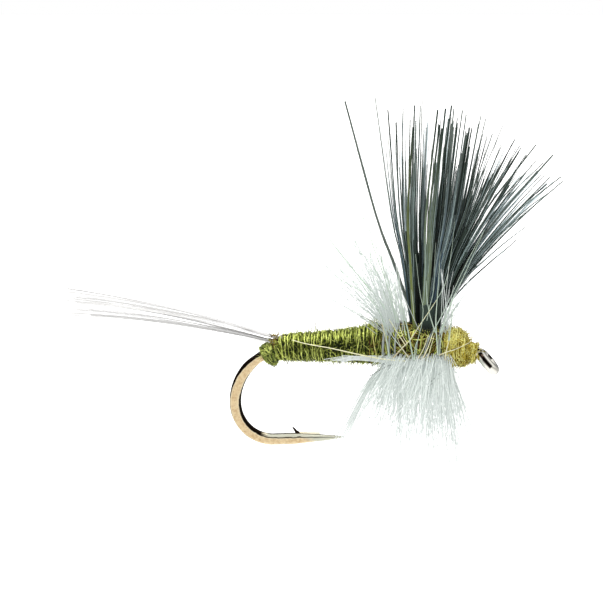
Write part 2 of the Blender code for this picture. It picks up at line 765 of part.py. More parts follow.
def grow_barb(bm, face, stem, aside, root, tip, length):
    """Draws one barb out of the stem's outer face, step by step."""
    steps = 4
    place = face.calc_center_median()
    for step in range(steps + 1):
        made = bmesh.ops.extrude_discrete_faces(bm, faces=[face])
        face = made["faces"][0]
        middle = face.calc_center_median()
        share = step / steps
        run = BARB_BASE_DIAMETER * 1.5 if step == 0 else length / steps
        place = place + root.lerp(tip, share).normalized() * run
        radius = (BARB_BASE_DIAMETER + (BARB_TIP_DIAMETER - BARB_BASE_DIAMETER) * share) / 2
        for vert in face.verts:
            corner = vert.co - middle
            along_stem = math.copysign(1, corner.dot(stem))
            along_aside = math.copysign(1, corner.dot(aside))
            vert.co = place + (along_stem * stem + along_aside * aside) * radius / math.sqrt(2)


def make_hackle():
    """One feather: its stem wound round the thorax, with the barbs standing out all round."""
    chance = random.Random(14)
    total = BACK_TURNS + 1 + FRONT_TURNS
    count = round(total * BARBS_PER_TURN)
    bm = bmesh.new()
    rings = []
    stems = []
    for step in range(count + 1):
        turn = step / BARBS_PER_TURN
        radius = (QUILL_DIAMETER + (QUILL_TIP_DIAMETER - QUILL_DIAMETER) * step / count) / 2
        middle = quill_point(turn, radius)
        outward = (middle - around_wire(quill_place(turn), 0, 0, thorax_lift(quill_place(turn)))).normalized()
        ahead = quill_point(turn + 0.01, radius) - quill_point(turn - 0.01, radius)
        aside = outward.cross(ahead).normalized()
        corners = ((1, 1), (-1, 1), (-1, -1), (1, -1))
        rings.append(
            [bm.verts.new(middle + (a * outward + b * aside) * radius / math.sqrt(2)) for a, b in corners]
        )
        stems.append((ahead.normalized(), aside))
    outer_faces = []
    for first, second in zip(rings, rings[1:]):
        for corner in range(4):
            after = (corner + 1) % 4
            face = bm.faces.new((first[corner], first[after], second[after], second[corner]))
            if corner == 3:
                outer_faces.append(face)
    bm.faces.new(rings[0])
    bm.faces.new(rings[-1])
    for step, face in enumerate(outer_faces):
        root, tip, length = barb_line((step + 0.5) / BARBS_PER_TURN, chance)
        grow_barb(bm, face, *stems[step], root, tip, length)
    return mesh_object("hackle_feather", bm, PALE_BARB)


def main():
    clear_scene()
    make_hook()
    make_thread_base()
    make_tail()
    make_tail_wraps()
    make_tail_prop()
    make_abdomen()
    make_wing()
    make_wing_tie_wraps()
    make_wing_post_wraps()
    make_thorax()
    make_hackle()
    make_head()
    make_whip_finish()


main()
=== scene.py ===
"""The looks of a thorax-style dry fly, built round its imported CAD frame.

The hook, the dubbing, the thread and every feather fibre are made here at full detail, where the frame has
plain closed solids. Lengths are metres. A place on the hook is a distance along its wire, counted back from
the eye, and an angle round the wire from its upper side towards +Y.
"""

import math
import random

import bmesh
import bpy
from bpy.props import FloatProperty, FloatVectorProperty, IntProperty, PointerProperty
from mathutils import Matrix, Vector


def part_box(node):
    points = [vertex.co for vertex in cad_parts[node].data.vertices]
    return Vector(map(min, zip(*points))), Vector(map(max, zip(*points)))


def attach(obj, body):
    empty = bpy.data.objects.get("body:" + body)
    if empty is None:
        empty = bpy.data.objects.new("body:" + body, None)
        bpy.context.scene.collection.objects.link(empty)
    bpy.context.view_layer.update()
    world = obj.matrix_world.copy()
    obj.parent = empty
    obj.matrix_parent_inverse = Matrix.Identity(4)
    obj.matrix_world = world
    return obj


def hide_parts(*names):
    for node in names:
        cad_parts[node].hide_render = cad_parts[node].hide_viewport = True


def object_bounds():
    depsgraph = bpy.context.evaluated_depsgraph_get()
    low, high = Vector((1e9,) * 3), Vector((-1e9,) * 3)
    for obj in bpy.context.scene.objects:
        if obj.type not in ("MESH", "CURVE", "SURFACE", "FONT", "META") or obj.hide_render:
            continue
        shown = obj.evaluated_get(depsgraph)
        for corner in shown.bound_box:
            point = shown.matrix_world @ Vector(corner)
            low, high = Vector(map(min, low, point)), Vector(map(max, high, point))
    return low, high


bl_info = {
    "name": "Dry Fly", "version": (1, 0, 0), "blender": (4, 5, 0), "location": "View3D > Sidebar > Dry Fly",
    "description": "Builds a thorax-style dry fly from its hook, dubbing, thread and feather fibres",
    "category": "Add Mesh",
}

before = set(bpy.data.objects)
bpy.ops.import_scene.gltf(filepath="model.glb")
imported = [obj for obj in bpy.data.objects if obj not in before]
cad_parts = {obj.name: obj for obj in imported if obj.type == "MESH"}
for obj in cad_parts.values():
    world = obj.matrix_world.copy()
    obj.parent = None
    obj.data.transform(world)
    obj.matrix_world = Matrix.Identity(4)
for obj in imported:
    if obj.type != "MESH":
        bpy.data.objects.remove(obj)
CAD_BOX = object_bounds()

MM = 0.001
ACROSS = Vector((0, 1, 0))
# Strands stop this far inside the ends of the body that they are wound on
INSET = 0.02 * MM
FULL_TURN = 2 * math.pi


def length(name, millimetres, description):
    return FloatProperty(
        name=name, description=description, default=millimetres * MM, unit="LENGTH", precision=5
    )


def number_of(name, count, description):
    return IntProperty(name=name, description=description, default=count)


def angle(name, degrees, description):
    return FloatProperty(name=name, description=description, default=math.radians(degrees), subtype="ANGLE")


def colour(name, value, description):
    return FloatVectorProperty(
        name=name, description=description, default=value, subtype="COLOR", size=3, min=0, max=1
    )


class HookSizes(bpy.types.PropertyGroup):
    wire: length("Wire", 0.41, "Diameter of the shank")
    shank: length("Shank", 7.60, "Length of the straight part")
    gape: length("Gape", 3.66, "From the middle of the shank to the middle of the spear")
    bend: length("Bend", 2.13, "Radius of the upper quarter of the bend")
    spear: length("Spear", 2.93, "Length of the straight part that ends in the point")
    spear_rise: angle("Spear rise", 2.3, "How much the spear turns in towards the shank")
    forged_thickness: length("Forged thickness", 0.32, "Between the two hammered flats")
    forged_width: length("Forged width", 0.47, "Across the bend in the plane of the hook")
    point: length("Point", 0.03, "Diameter of the very tip")
    taper: length("Taper", 2.1, "Length of the sharpened part")
    barb_from_point: length("Barb from point", 1.85, "Where the barb is cut")
    barb_height: length("Barb height", 0.25, "How far it stands off the wire")
    barb_length: length("Barb length", 0.80, "Along the spear")
    eye: length("Eye", 1.28, "Outside diameter of the eye")
    eye_wire: length("Eye wire", 0.42, "Diameter of the wire round the eye")
    eye_tilt: angle("Eye tilt", 50, "How far the eye points down from the shank")
    neck: length("Neck", 0.30, "Diameter where the shank enters the eye")
    neck_radius: length("Neck radius", 1.16, "Radius of the turn behind the eye")
    neck_turn: angle("Neck turn", 20, "How far the wire turns down to the eye")
    gold: colour("Gold", (0.93, 0.74, 0.45), "The bright lacquered bronze")
    brown: colour("Brown", (0.66, 0.43, 0.20), "The darker mottling in it")
    # A painted highlight line beside the edges of the hammered flats
    painted_edge_highlight: colour("Lacquer", (0.95, 0.86, 0.62), "The pale line beside the dark edge")
    # A painted dark reflection along the edges of the hammered flats
    painted_edge_reflection: colour("Oxide", (0.010, 0.006, 0.004), "The dark edge of the hammered flats")
    steel: colour("Steel", (0.86, 0.84, 0.76), "Bare wire at the eye")
    silver: colour("Silver", (0.72, 0.72, 0.58), "The worn inner side of the spear")


class BodySizes(bpy.types.PropertyGroup):
    abdomen_turns: number_of("Abdomen turns", 25, "Turns of the wound strand")
    strand_filaments: number_of("Filaments", 5, "In one wound strand")
    filament: length("Filament", 0.038, "Diameter of one filament of the wound strand")
    fuzz_density: FloatProperty(name="Fuzz", description="Loose hairs on a square millimetre", default=80.0)
    fuzz_length: length("Fuzz length", 0.40, "Longest loose hair")
    fuzz: length("Fuzz thickness", 0.024, "Diameter of a loose hair")
    thorax_fibres: number_of("Thorax fibres", 420, "Loose fibres in the thorax")
    olive_light: colour("Light olive", (0.84, 0.92, 0.250), "The lit side of the olive strands")
    olive: colour("Olive", (0.200, 0.245, 0.018), "The olive strands")
    # Used as painted shade between the strands, and as the darkest strand tone
    olive_dark: colour("Dark olive", (0.008, 0.013, 0.002), "Between the strands")
    rear_green: colour("Rear green", (0.150, 0.215, 0.030), "The lump behind the tail")
    thorax_gold: colour("Thorax gold", (0.37, 0.265, 0.050), "Gold fibres mixed into the thorax")
    thorax_brown: colour("Thorax brown", (0.13, 0.060, 0.014), "Brown fibres mixed into the thorax")


class HeadSizes(bpy.types.PropertyGroup):
    turns: number_of("Head turns", 9, "Turns of yarn in the head")
    filament: length("Filament", 0.05, "Diameter of one filament of the yarn")
    light: colour("Light gold", (1.0, 0.97, 0.36), "The lit side of the yarn")
    gold: colour("Gold", (0.60, 0.47, 0.025), "The yarn")
    shade: colour("Shade", (0.13, 0.075, 0.004), "Between the turns")


class TailSizes(bpy.types.PropertyGroup):
    fibres: number_of("Fibres", 26, "Fibres in the tail")
    thickness: length("Thickness", 0.056, "Diameter at the root")
    reach: length("Length", 9.25, "Behind the abdomen")
    fan: angle("Fan", 7.2, "Each way, seen from above")
    pale: colour("Pale", (0.76, 0.755, 0.75), "The fibres")
    shade: colour("Shade", (0.46, 0.45, 0.45), "Their darker side and roots")


class WingSizes(bpy.types.PropertyGroup):
    fillers: number_of("Inner fibres", 190, "Fibres between the leading ones")
    underfibres: number_of("Underfibres", 130, "Short fibres at the foot")
    thickness: length("Thickness", 0.125, "Diameter of a fibre near its root")
    tip: length("Tip", 0.060, "Diameter at the tip")
    spread: angle("Spread", 5.5, "Each way across the fly")
    barbules: number_of("Barbules", 4, "Fine pale hairs lying along a fibre")
    black: colour("Black", (0.004, 0.007, 0.005), "The darkest fibres")
    slate: colour("Slate", (0.034, 0.054, 0.043), "Most fibres")
    grey: colour("Grey", (0.135, 0.160, 0.140), "The outermost fibres")
    blue: colour("Blue dun", (0.060, 0.098, 0.135), "Fibres with a blue bloom")
    sage: colour("Sage", (0.235, 0.300, 0.190), "The broad greenish fibres")
    khaki: colour("Khaki", (0.190, 0.230, 0.070), "The olive fibre at the back")
    web: colour("Web", (0.40, 0.51, 0.50), "The fine hairs beside the fibres")
    bloom: colour("Bloom", (0.62, 0.73, 0.76), "The pale fibres")


class HackleSizes(bpy.types.PropertyGroup):
    upper_barbs: number_of("Upper barbs", 235, "Barbs that stand up behind the wing")
    lower_barbs: number_of("Lower barbs", 1150, "Barbs that hang below the thorax")
    front_barbs: number_of("Front barbs", 38, "Barbs between the wing and the head")
    side_barbs: number_of("Side barbs", 110, "Barbs that stand out on both sides")
    trailing_barbs: number_of("Trailing barbs", 26, "Barbs that trail down and back from under the thorax")
    belly_barbs: number_of("Belly barbs", 42, "Barbs that lie back along the belly")
    quill: length("Quill", 0.10, "Diameter of the feather's stem")
    barb: length("Barb", 0.044, "Diameter of a barb at its root")
    upper: length("Upper length", 5.3, "Length of the barbs behind the wing")
    lower: length("Lower length", 5.7, "Length of the barbs below the fly")
    # The barbs' darker roots and paler ends are partly their own colour and partly painted shade near the body
    tip: colour("Tip", (0.570, 0.600, 0.590), "The ends of the barbs")
    pale: colour("Pale", (0.445, 0.482, 0.462), "The barbs")
    shade: colour("Shade", (0.360, 0.395, 0.385), "Their darker roots")
    sage: colour("Sage", (0.47, 0.565, 0.47), "The barbs that lie against the wing")
    cream: colour("Cream", (0.80, 0.78, 0.52), "The few that are stained by the body's dye")
    tan: colour("Tan", (0.62, 0.52, 0.33), "The stained strands across the thorax")


class StageSettings(bpy.types.PropertyGroup):
    azimuth: angle("Azimuth", 9, "Of the camera, from straight across the hook towards the front of the fly")
    elevation: angle("Elevation", 3, "Of the camera")
    distance: length("Distance", 260, "From the camera to the fly")
    view_width: length("View width", 24.66, "Seen at the fly")
    drop: length("Drop", 26, "From the fly's lowest fibre to the floor")


# The hook's wire


def sizes():
    return bpy.context.scene.dry_fly


def eye_down():
    """The direction that the eye points, in the plane of the hook."""
    tilt = sizes().hook.eye_tilt
    return Vector((math.cos(tilt), 0, -math.sin(tilt)))


def eye_ring_radius():
    hook = sizes().hook
    return (hook.eye - hook.eye_wire) / 2


def wire_stretches():
    """(length, radius, heading at its start) of neck, shank, two arcs of bend and spear."""
    hook = sizes().hook
    lower = hook.gape - hook.bend
    quarter = math.pi / 2
    return [
        (hook.neck_radius * hook.neck_turn, hook.neck_radius, hook.neck_turn), (hook.shank, None, 0.0),
        (hook.bend * quarter, hook.bend, 0.0), (lower * (quarter + hook.spear_rise), lower, -quarter),
        (hook.spear, None, -2 * quarter - hook.spear_rise),
    ]


def stretch_end(number):
    """How far along the wire a stretch ends: 0 the neck, 1 the shank, 3 the bend, 4 the point."""
    return sum(stretch[0] for stretch in wire_stretches()[: number + 1])


def wire_frame(along):
    """The frame at a distance along the wire: local X is across, local Y the outer side, local Z backwards."""
    place = -eye_ring_radius() * eye_down()
    left = along
    for stretch, radius, heading in wire_stretches():
        run = min(left, stretch)
        turned = heading if radius is None else heading - run / radius
        if radius is None:
            place += run * Vector((-math.cos(heading), 0, math.sin(heading)))
        else:
            place += radius * Vector(
                (math.sin(turned) - math.sin(heading), 0, math.cos(turned) - math.cos(heading))
            )
        left -= run
        if left <= 0:
            break
    back = Vector((-math.cos(turned), 0, math.sin(turned)))
    outer = Vector((math.sin(turned), 0, math.cos(turned)))
    return Matrix.Translation(place) @ Matrix((ACROSS, outer, back)).transposed().to_4x4()


def around_wire(along, turn, radius, lift=0.0):
    """A point round the wire. The circle's middle is lifted off the wire's."""
    return wire_frame(along) @ Vector((radius * math.sin(turn), lift + radius * math.cos(turn), 0))


def span_of(node):
    """(start, end) along the wire of a CAD node that sits on the straight shank."""
    low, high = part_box(node)
    shank_x = wire_frame(stretch_end(0)).translation.x
    return stretch_end(0) + shank_x - high[0], stretch_end(0) + shank_x - low[0]


def shell_of(node):
    """(radius, lift) of the round outside of a CAD node on the shank, from its box."""
    low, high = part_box(node)
    shank_z = wire_frame(stretch_end(0)).translation.z
    return (high[1] - low[1]) / 2, (high[2] + low[2]) / 2 - shank_z


# Meshes


def mesh_object(name, mesh, material=None):
    obj = bpy.data.objects.new(name, mesh)
    bpy.context.scene.collection.objects.link(obj)
    if material is not None:
        mesh.materials.append(material)
    return obj


def mesh_from(bm, name):
    mesh = bpy.data.meshes.new(name)
    bm.to_mesh(mesh)
    bm.free()
    return mesh


def skin(bm, rings):
    """Closes a tube: faces between neighbouring rings, and a face over each end."""
    for first, second in zip(rings, rings[1:]):
        for side in range(len(first)):
            after = (side + 1) % len(first)
            bm.faces.new((first[side], first[after], second[after], second[side]))
    bm.faces.new(rings[0])
    bm.faces.new(rings[-1])


def finish_piece(obj, slot, *nodes):
    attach(obj, "root")
    if nodes:
        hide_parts(*nodes)


def loft(name, start, end, radius_at, lift_at, material, count, sides=32):
    """A closed skin round the wire, in so many rings from start to end."""
    bm = bmesh.new()
    rings = []
    for step in range(count + 1):
        along = start + (end - start) * step / count
        turns = [FULL_TURN * side / sides for side in range(sides)]
        places = [around_wire(along, turn, radius_at(along), lift_at(along)) for turn in turns]
        rings.append([bm.verts.new(place) for place in places])
    skin(bm, rings)
    bmesh.ops.recalc_face_normals(bm, faces=bm.faces)
    mesh = mesh_from(bm, name)
    mesh.shade_smooth()
    return mesh_object(name, mesh, material)


# Fibres on the near side lie this much further forward for each millimetre across, so the fly looks
# fullest from its front quarter.
TWIST = 0.158


def spot(ahead, height, across=0.0):
    """A place measured from the middle of the eye, in millimetres."""
    return Vector((ahead - across * TWIST, across, height)) * MM


def smooth_line(places, count):
    """Points along a curve that passes through every place."""
    knots = [2 * places[0] - places[1], *places, 2 * places[-1] - places[-2]]
    line = []
    for step in range(count + 1):
        way = (len(places) - 1) * step / count
        first = min(int(way), len(places) - 2)
        t = way - first
        a, b, c, d = knots[first : first + 4]
        line.append(
            0.5 * (2 * b + (c - a) * t + (2 * a - 5 * b + 4 * c - d) * t**2 + (3 * b - a - 3 * c + d) * t**3)
        )
    return line


def line_through(places, across, count):
    """A smooth line through (ahead, height) places. across is fixed, or found from a place's number, height."""
    if not callable(across):
        return smooth_line([spot(ahead, height, across) for ahead, height in places], count)
    return smooth_line([spot(*place, across(number, place[1])) for number, place in enumerate(places)], count)


def between(table, value, column=1):
    """Reads a table of (value, results) rows, straight between them and level beyond its ends."""
    if value <= table[0][0]:
        return table[0][column]
    for first, second in zip(table, table[1:]):
        if value <= second[0]:
            share = (value - first[0]) / (second[0] - first[0])
            return first[column] + (second[column] - first[column]) * share
    return table[-1][column]


class Guides:
    """Lines that become fibres. Each point has a thickness and its share of the way; each line has a tone."""

    def __init__(self):
        self.points = []
        self.edges = []
        self.thickness = []
        self.along = []
        self.tone = []

    def add(self, points, thickness, tone, first_along=0.0, last_along=1.0):
        start = len(self.points)
        last = len(points) - 1
        tones = tone if isinstance(tone, list) else [tone] * len(points)
        for step, (point, size) in enumerate(zip(points, thickness)):
            self.points.append(tuple(point))
            self.thickness.append(size)
            self.along.append(first_along + (last_along - first_along) * step / last)
            self.tone.append(tones[step])
            if step:
                self.edges.append((start + step - 1, start + step))

    def add_tapered(self, points, root, tip, *rest):
        """Adds a line whose diameter goes from root to tip."""
        last = len(points) - 1
        self.add(points, [(root + (tip - root) * (step / last) ** 0.9) / 2 for step in range(last + 1)], *rest)

    def to_object(self, name):
        mesh = bpy.data.meshes.new(name)
        mesh.from_pydata(self.points, self.edges, [])
        for attribute in ("thickness", "along", "tone"):
            made = mesh.attributes.new(attribute, "FLOAT", "POINT")
            made.data.foreach_set("value", getattr(self, attribute))
        return mesh_object(name, mesh)


# Geometry Nodes


def node_tree(name, inputs):
    """A geometry tree with a Geometry in and out, and named inputs: (name, socket type, default)."""
    tree = bpy.data.node_groups.new(name, "GeometryNodeTree")
    tree.interface.new_socket("Geometry", in_out="INPUT", socket_type="NodeSocketGeometry")
    for label, kind, default in inputs:
        socket = tree.interface.new_socket(label, in_out="INPUT", socket_type=kind)
        if default is not None:
            socket.default_value = default
    tree.interface.new_socket("Geometry", in_out="OUTPUT", socket_type="NodeSocketGeometry")
    return tree


def add_node(tree, kind, links=None, **settings):
    """A node with its settings made and its inputs linked or set, by name or number."""
    node = tree.nodes.new(kind)
    for name, value in settings.items():
        setattr(node, name, value)
    for socket, value in (links or {}).items():
        if isinstance(value, bpy.types.NodeSocket):
            tree.links.new(value, node.inputs[socket])
        else:
            node.inputs[socket].default_value = value
    return node


def put(tree, socket, value):
    """Links a socket's value, or sets it: a colour is made opaque."""
    if isinstance(value, bpy.types.NodeSocket):
        tree.links.new(value, socket)
    else:
        socket.default_value = (*value, 1.0) if socket.type == "RGBA" else value


def math_node(tree, operation, first, second):
    return add_node(tree, "ShaderNodeMath", {0: first, 1: second}, operation=operation).outputs[0]


def scaled(tree, vector, scale):
    return add_node(tree, "ShaderNodeVectorMath", {0: vector, "Scale": scale}, operation="SCALE").outputs[0]


def remap(tree, value, low, high, to_low=0.0, to_high=1.0):
    ends = {"Value": value, "From Min": low, "From Max": high, "To Min": to_low, "To Max": to_high}
    return add_node(tree, "ShaderNodeMapRange", ends).outputs[0]


def mix_colours(tree, share, first, second):
    node = add_node(tree, "ShaderNodeMix", data_type="RGBA")
    for number, value in ((0, share), (6, first), (7, second)):
        put(tree, node.inputs[number], value)
    return node.outputs[2]


def ramp(tree, value, stops):
    """A colour ramp whose stops are (position, colour) or (position, grey)."""
    node = add_node(tree, "ShaderNodeValToRGB", {0: value})
    elements = node.color_ramp.elements
    while len(elements) < len(stops):
        elements.new(0.5)
    for element, (position, shade) in zip(elements, stops):
        element.position = position
        element.color = (shade, shade, shade, 1.0) if isinstance(shade, float) else (*shade, 1.0)
    return node.outputs[0]


def attribute_value(tree, name):
    return add_node(tree, "GeometryNodeInputNamedAttribute", {"Name": name}, data_type="FLOAT").outputs[0]


def strand_tree():
    """Guides to fibres: a round or flattened section swept along each line."""
    tree = bpy.data.node_groups.get("Strands along guides")
    if tree is not None:
        return tree
    tree = node_tree(
        "Strands along guides",
        [
            ("Sides", "NodeSocketInt", 5),
            ("Thickness", "NodeSocketFloat", 1.0),
            ("Flatness", "NodeSocketFloat", 1.0),
            ("Material", "NodeSocketMaterial", None),
        ],
    )
    given = add_node(tree, "NodeGroupInput").outputs
    lines = add_node(tree, "GeometryNodeMeshToCurve", {"Mesh": given["Geometry"]})
    section = add_node(tree, "GeometryNodeCurvePrimitiveCircle", {"Resolution": given["Sides"], "Radius": 1.0})
    squeeze = add_node(tree, "ShaderNodeCombineXYZ", {"X": 1.0, "Y": given["Flatness"], "Z": 1.0})
    flat = add_node(
        tree, "GeometryNodeTransform", {"Geometry": section.outputs[0], "Scale": squeeze.outputs[0]}
    )
    size = math_node(tree, "MULTIPLY", attribute_value(tree, "thickness"), given["Thickness"])
    swept = add_node(
        tree, "GeometryNodeCurveToMesh",
        {"Curve": lines.outputs[0], "Profile Curve": flat.outputs[0], "Scale": size, "Fill Caps": True},
    )
    end_tree(tree, swept.outputs[0], given["Material"])
    return tree


def end_tree(tree, geometry, material):
    smooth = add_node(tree, "GeometryNodeSetShadeSmooth", {"Geometry": geometry})
    real = add_node(tree, "GeometryNodeRealizeInstances", {"Geometry": smooth.outputs[0]})
    painted = add_node(tree, "GeometryNodeSetMaterial", {"Geometry": real.outputs[0], "Material": material})
    add_node(tree, "NodeGroupOutput", {"Geometry": painted.outputs[0]})


def random_between(tree, low, high, seed):
    links = {"Seed": seed, 2: low, 3: high}
    return add_node(tree, "FunctionNodeRandomValue", links, data_type="FLOAT").outputs[1]


def fuzz_tree():
    """Loose curved hairs scattered over a surface, each turned and leaning its own way."""
    tree = bpy.data.node_groups.get("Fuzz on a surface")
    if tree is not None:
        return tree
    tree = node_tree(
        "Fuzz on a surface",
        [
            ("Density", "NodeSocketFloat", 1.0),
            ("Length", "NodeSocketFloat", 0.2 * MM),
            ("Hair thickness", "NodeSocketFloat", 0.012 * MM),
            ("Lean", "NodeSocketFloat", 1.1),
            ("Seed", "NodeSocketInt", 1),
            ("Material", "NodeSocketMaterial", None),
        ],
    )
    given = add_node(tree, "NodeGroupInput").outputs
    spots = add_node(
        tree, "GeometryNodeDistributePointsOnFaces",
        {"Mesh": given["Geometry"], "Density": given["Density"], "Seed": given["Seed"]},
    )
    arc = add_node(
        tree, "GeometryNodeCurveQuadraticBezier",
        {"Resolution": 5, "Start": (0, 0, 0), "Middle": (0, 0, 0.62), "End": (0.42, 0, 1.0)},
    )
    way = add_node(tree, "GeometryNodeSplineParameter")
    thinner = remap(tree, way.outputs["Factor"], 0.0, 1.0, 1.0, 0.25)
    ratio = math_node(tree, "DIVIDE", given["Hair thickness"], given["Length"])
    size = math_node(tree, "MULTIPLY", thinner, ratio)
    section = add_node(tree, "GeometryNodeCurvePrimitiveCircle", {"Resolution": 3, "Radius": 0.5})
    hair = add_node(
        tree, "GeometryNodeCurveToMesh",
        {"Curve": arc.outputs[0], "Profile Curve": section.outputs[0], "Scale": size},
    )
    spin = add_node(
        tree,
        "ShaderNodeCombineXYZ",
        {
            "X": random_between(tree, -1.0, 1.0, 3),
            "Y": random_between(tree, -1.0, 1.0, 4),
            "Z": random_between(tree, 0.0, FULL_TURN, 5),
        },
    )
    turned = add_node(
        tree, "FunctionNodeRotateRotation",
        {"Rotation": spots.outputs["Rotation"], "Rotate By": scaled(tree, spin.outputs[0], given["Lean"])},
        rotation_space="LOCAL",
    )
    grown = math_node(tree, "MULTIPLY", random_between(tree, 0.25, 1.0, 6), given["Length"])
    hairs = add_node(
        tree,
        "GeometryNodeInstanceOnPoints",
        {
            "Points": spots.outputs["Points"],
            "Instance": hair.outputs[0],
            "Rotation": turned.outputs[0],
            "Scale": grown,
        },
    )
    toned = add_node(
        tree, "GeometryNodeStoreNamedAttribute",
        {"Geometry": hairs.outputs[0], "Name": "tone", "Value": random_between(tree, 0.0, 1.0, 7)},
        data_type="FLOAT", domain="INSTANCE",
    )
    end_tree(tree, toned.outputs[0], given["Material"])
    return tree


def grow(obj, tree, name, **values):
    """Runs a tree on an object, and returns the result as a plain mesh object. The source stays as it is."""
    modifier = obj.modifiers.new(tree.name, "NODES")
    modifier.node_group = tree
    for item in tree.interface.items_tree:
        key = item.name.lower().replace(" ", "_")
        if item.in_out == "INPUT" and key in values:
            modifier[item.identifier] = values[key]
    graph = bpy.context.evaluated_depsgraph_get()
    graph.update()
    mesh = bpy.data.meshes.new_from_object(obj.evaluated_get(graph))
    mesh.name = name
    obj.modifiers.remove(modifier)
    return mesh_object(name, mesh)


def fibres_from(guides, name, material, sides=5, flatness=1.0):
    source = guides.to_object(name + "_guides")
    made = grow(source, strand_tree(), name, sides=sides, thickness=1.0, flatness=flatness, material=material)
    bpy.data.objects.remove(source, do_unlink=True)
    return made


def fuzz_from(surface, name, material, density, reach, thickness, lean, seed):
    return grow(
        surface, fuzz_tree(), name, density=density / MM**2, length=reach, hair_thickness=thickness, lean=lean,
        seed=seed, material=material,
    )


def join(name, *objects):
    """One piece from several, with their materials kept apart."""
    bm = bmesh.new()
    materials = []
    for obj in objects:
        start = len(bm.faces)
        bm.from_mesh(obj.data)
        bm.faces.ensure_lookup_table()
        slots = []
        for material in obj.data.materials:
            if material not in materials:
                materials.append(material)
            slots.append(materials.index(material))
        for face in bm.faces[start:]:
            face.material_index = slots[min(face.material_index, len(slots) - 1)]
    mesh = mesh_from(bm, name)
    for material in materials:
        mesh.materials.append(material)
    for obj in objects:
        bpy.data.objects.remove(obj, do_unlink=True)
    return mesh_object(name, mesh)


# Materials


class Paint:
    """Builds one material's nodes."""

    def __init__(self, name):
        self.material = bpy.data.materials.new(name)
        self.material.use_nodes = True
        self.tree = self.material.node_tree
        self.shader = self.tree.nodes["Principled BSDF"]

    def node(self, kind, links=None, **settings):
        return add_node(self.tree, kind, links, **settings)

    def place(self):
        return self.node("ShaderNodeTexCoord").outputs["Object"]

    def attribute(self, name):
        return self.node("ShaderNodeAttribute", attribute_name=name).outputs["Fac"]

    def noise(self, size, detail=3.0, roughness=0.55, stretch=(1, 1, 1)):
        """Noise whose blobs are about size across, drawn out along the longer axes of stretch."""
        scaled = self.node("ShaderNodeMapping", {"Vector": self.place(), "Scale": stretch})
        made = self.node(
            "ShaderNodeTexNoise",
            {"Vector": scaled.outputs[0], "Scale": 1 / size, "Detail": detail, "Roughness": roughness},
        )
        return made.outputs["Fac"]

    def ramp(self, value, *stops):
        return ramp(self.tree, value, stops)

    def steps(self, value, low, high, to_low=0.0, to_high=1.0):
        return remap(self.tree, value, low, high, to_low, to_high)

    def mix(self, share, first, second):
        return mix_colours(self.tree, share, first, second)

    def maths(self, operation, first, second):
        return math_node(self.tree, operation, first, second)

    def colour(self, value):
        self.set(**{"Base Color": value})

    def bump(self, height, strength, depth):
        made = self.node("ShaderNodeBump", {"Height": height, "Strength": strength, "Distance": depth})
        self.set(Normal=made.outputs[0])

    def set(self, **values):
        """Links or sets the shader's inputs by name."""
        for name, value in values.items():
            put(self.tree, self.shader.inputs[name], value)


def fibre_colour_group():
    """Colour of a feather fibre from its own attributes: darker root, varied tone, fine mottling."""
    group = bpy.data.node_groups.get("Fibre colour")
    if group is not None:
        return group
    group = bpy.data.node_groups.new("Fibre colour", "ShaderNodeTree")
    for label, kind, default in (
        ("Root", "NodeSocketColor", (0.1, 0.1, 0.1, 1)),
        ("Body", "NodeSocketColor", (0.5, 0.5, 0.5, 1)),
        ("Tip", "NodeSocketColor", (0.6, 0.6, 0.6, 1)),
        ("Root ends", "NodeSocketFloat", 0.15),
        ("Tip starts", "NodeSocketFloat", 0.9),
        ("Mottling", "NodeSocketFloat", 0.3),
    ):
        socket = group.interface.new_socket(label, in_out="INPUT", socket_type=kind)
        socket.default_value = default
    group.interface.new_socket("Colour", in_out="OUTPUT", socket_type="NodeSocketColor")
    given = add_node(group, "NodeGroupInput").outputs
    along = add_node(group, "ShaderNodeAttribute", attribute_name="along").outputs["Fac"]
    tone = add_node(group, "ShaderNodeAttribute", attribute_name="tone").outputs["Fac"]
    shade = mix_colours(group, remap(group, along, 0.0, given["Root ends"]), given["Root"], given["Body"])
    shade = mix_colours(group, remap(group, along, given["Tip starts"], 1.0), shade, given["Tip"])
    place = add_node(group, "ShaderNodeTexCoord").outputs["Object"]
    grain = add_node(group, "ShaderNodeTexNoise", {"Vector": place, "Scale": 1 / (0.22 * MM), "Detail": 3.0})
    lit = math_node(group, "ADD", tone, grain.outputs["Fac"])
    low = math_node(group, "SUBTRACT", 1.0, given["Mottling"])
    high = math_node(group, "ADD", 1.0, given["Mottling"])
    bright = scaled(group, shade, remap(group, lit, 0.3, 1.6, low, high))
    add_node(group, "NodeGroupOutput", {"Colour": bright})
    return group


def feather_material(name, root, body, tip, root_ends, tip_starts, mottling, roughness, sheen=0.0, glow=0.0):
    """glow stands for the light that comes through a pale, thin fibre from behind it."""
    paint = Paint(name)
    group = paint.node("ShaderNodeGroup")
    group.node_tree = fibre_colour_group()
    ends = {"Root ends": root_ends, "Tip starts": tip_starts, "Mottling": mottling}
    for label, value in {"Root": root, "Body": body, "Tip": tip, **ends}.items():
        put(paint.tree, group.inputs[label], value)
    paint.colour(group.outputs[0])
    paint.bump(paint.noise(0.05 * MM, detail=2.0), 0.35, 0.01 * MM)
    grain = paint.steps(paint.noise(0.10 * MM), 0.3, 0.7, roughness - 0.08, roughness + 0.08)
    paint.set(**{"Roughness": grain, "Specular IOR Level": 0.22, "Sheen Weight": sheen, "Sheen Roughness": 0.4})
    if glow:
        paint.set(**{"Emission Color": group.outputs[0], "Emission Strength": glow})
    return paint.material


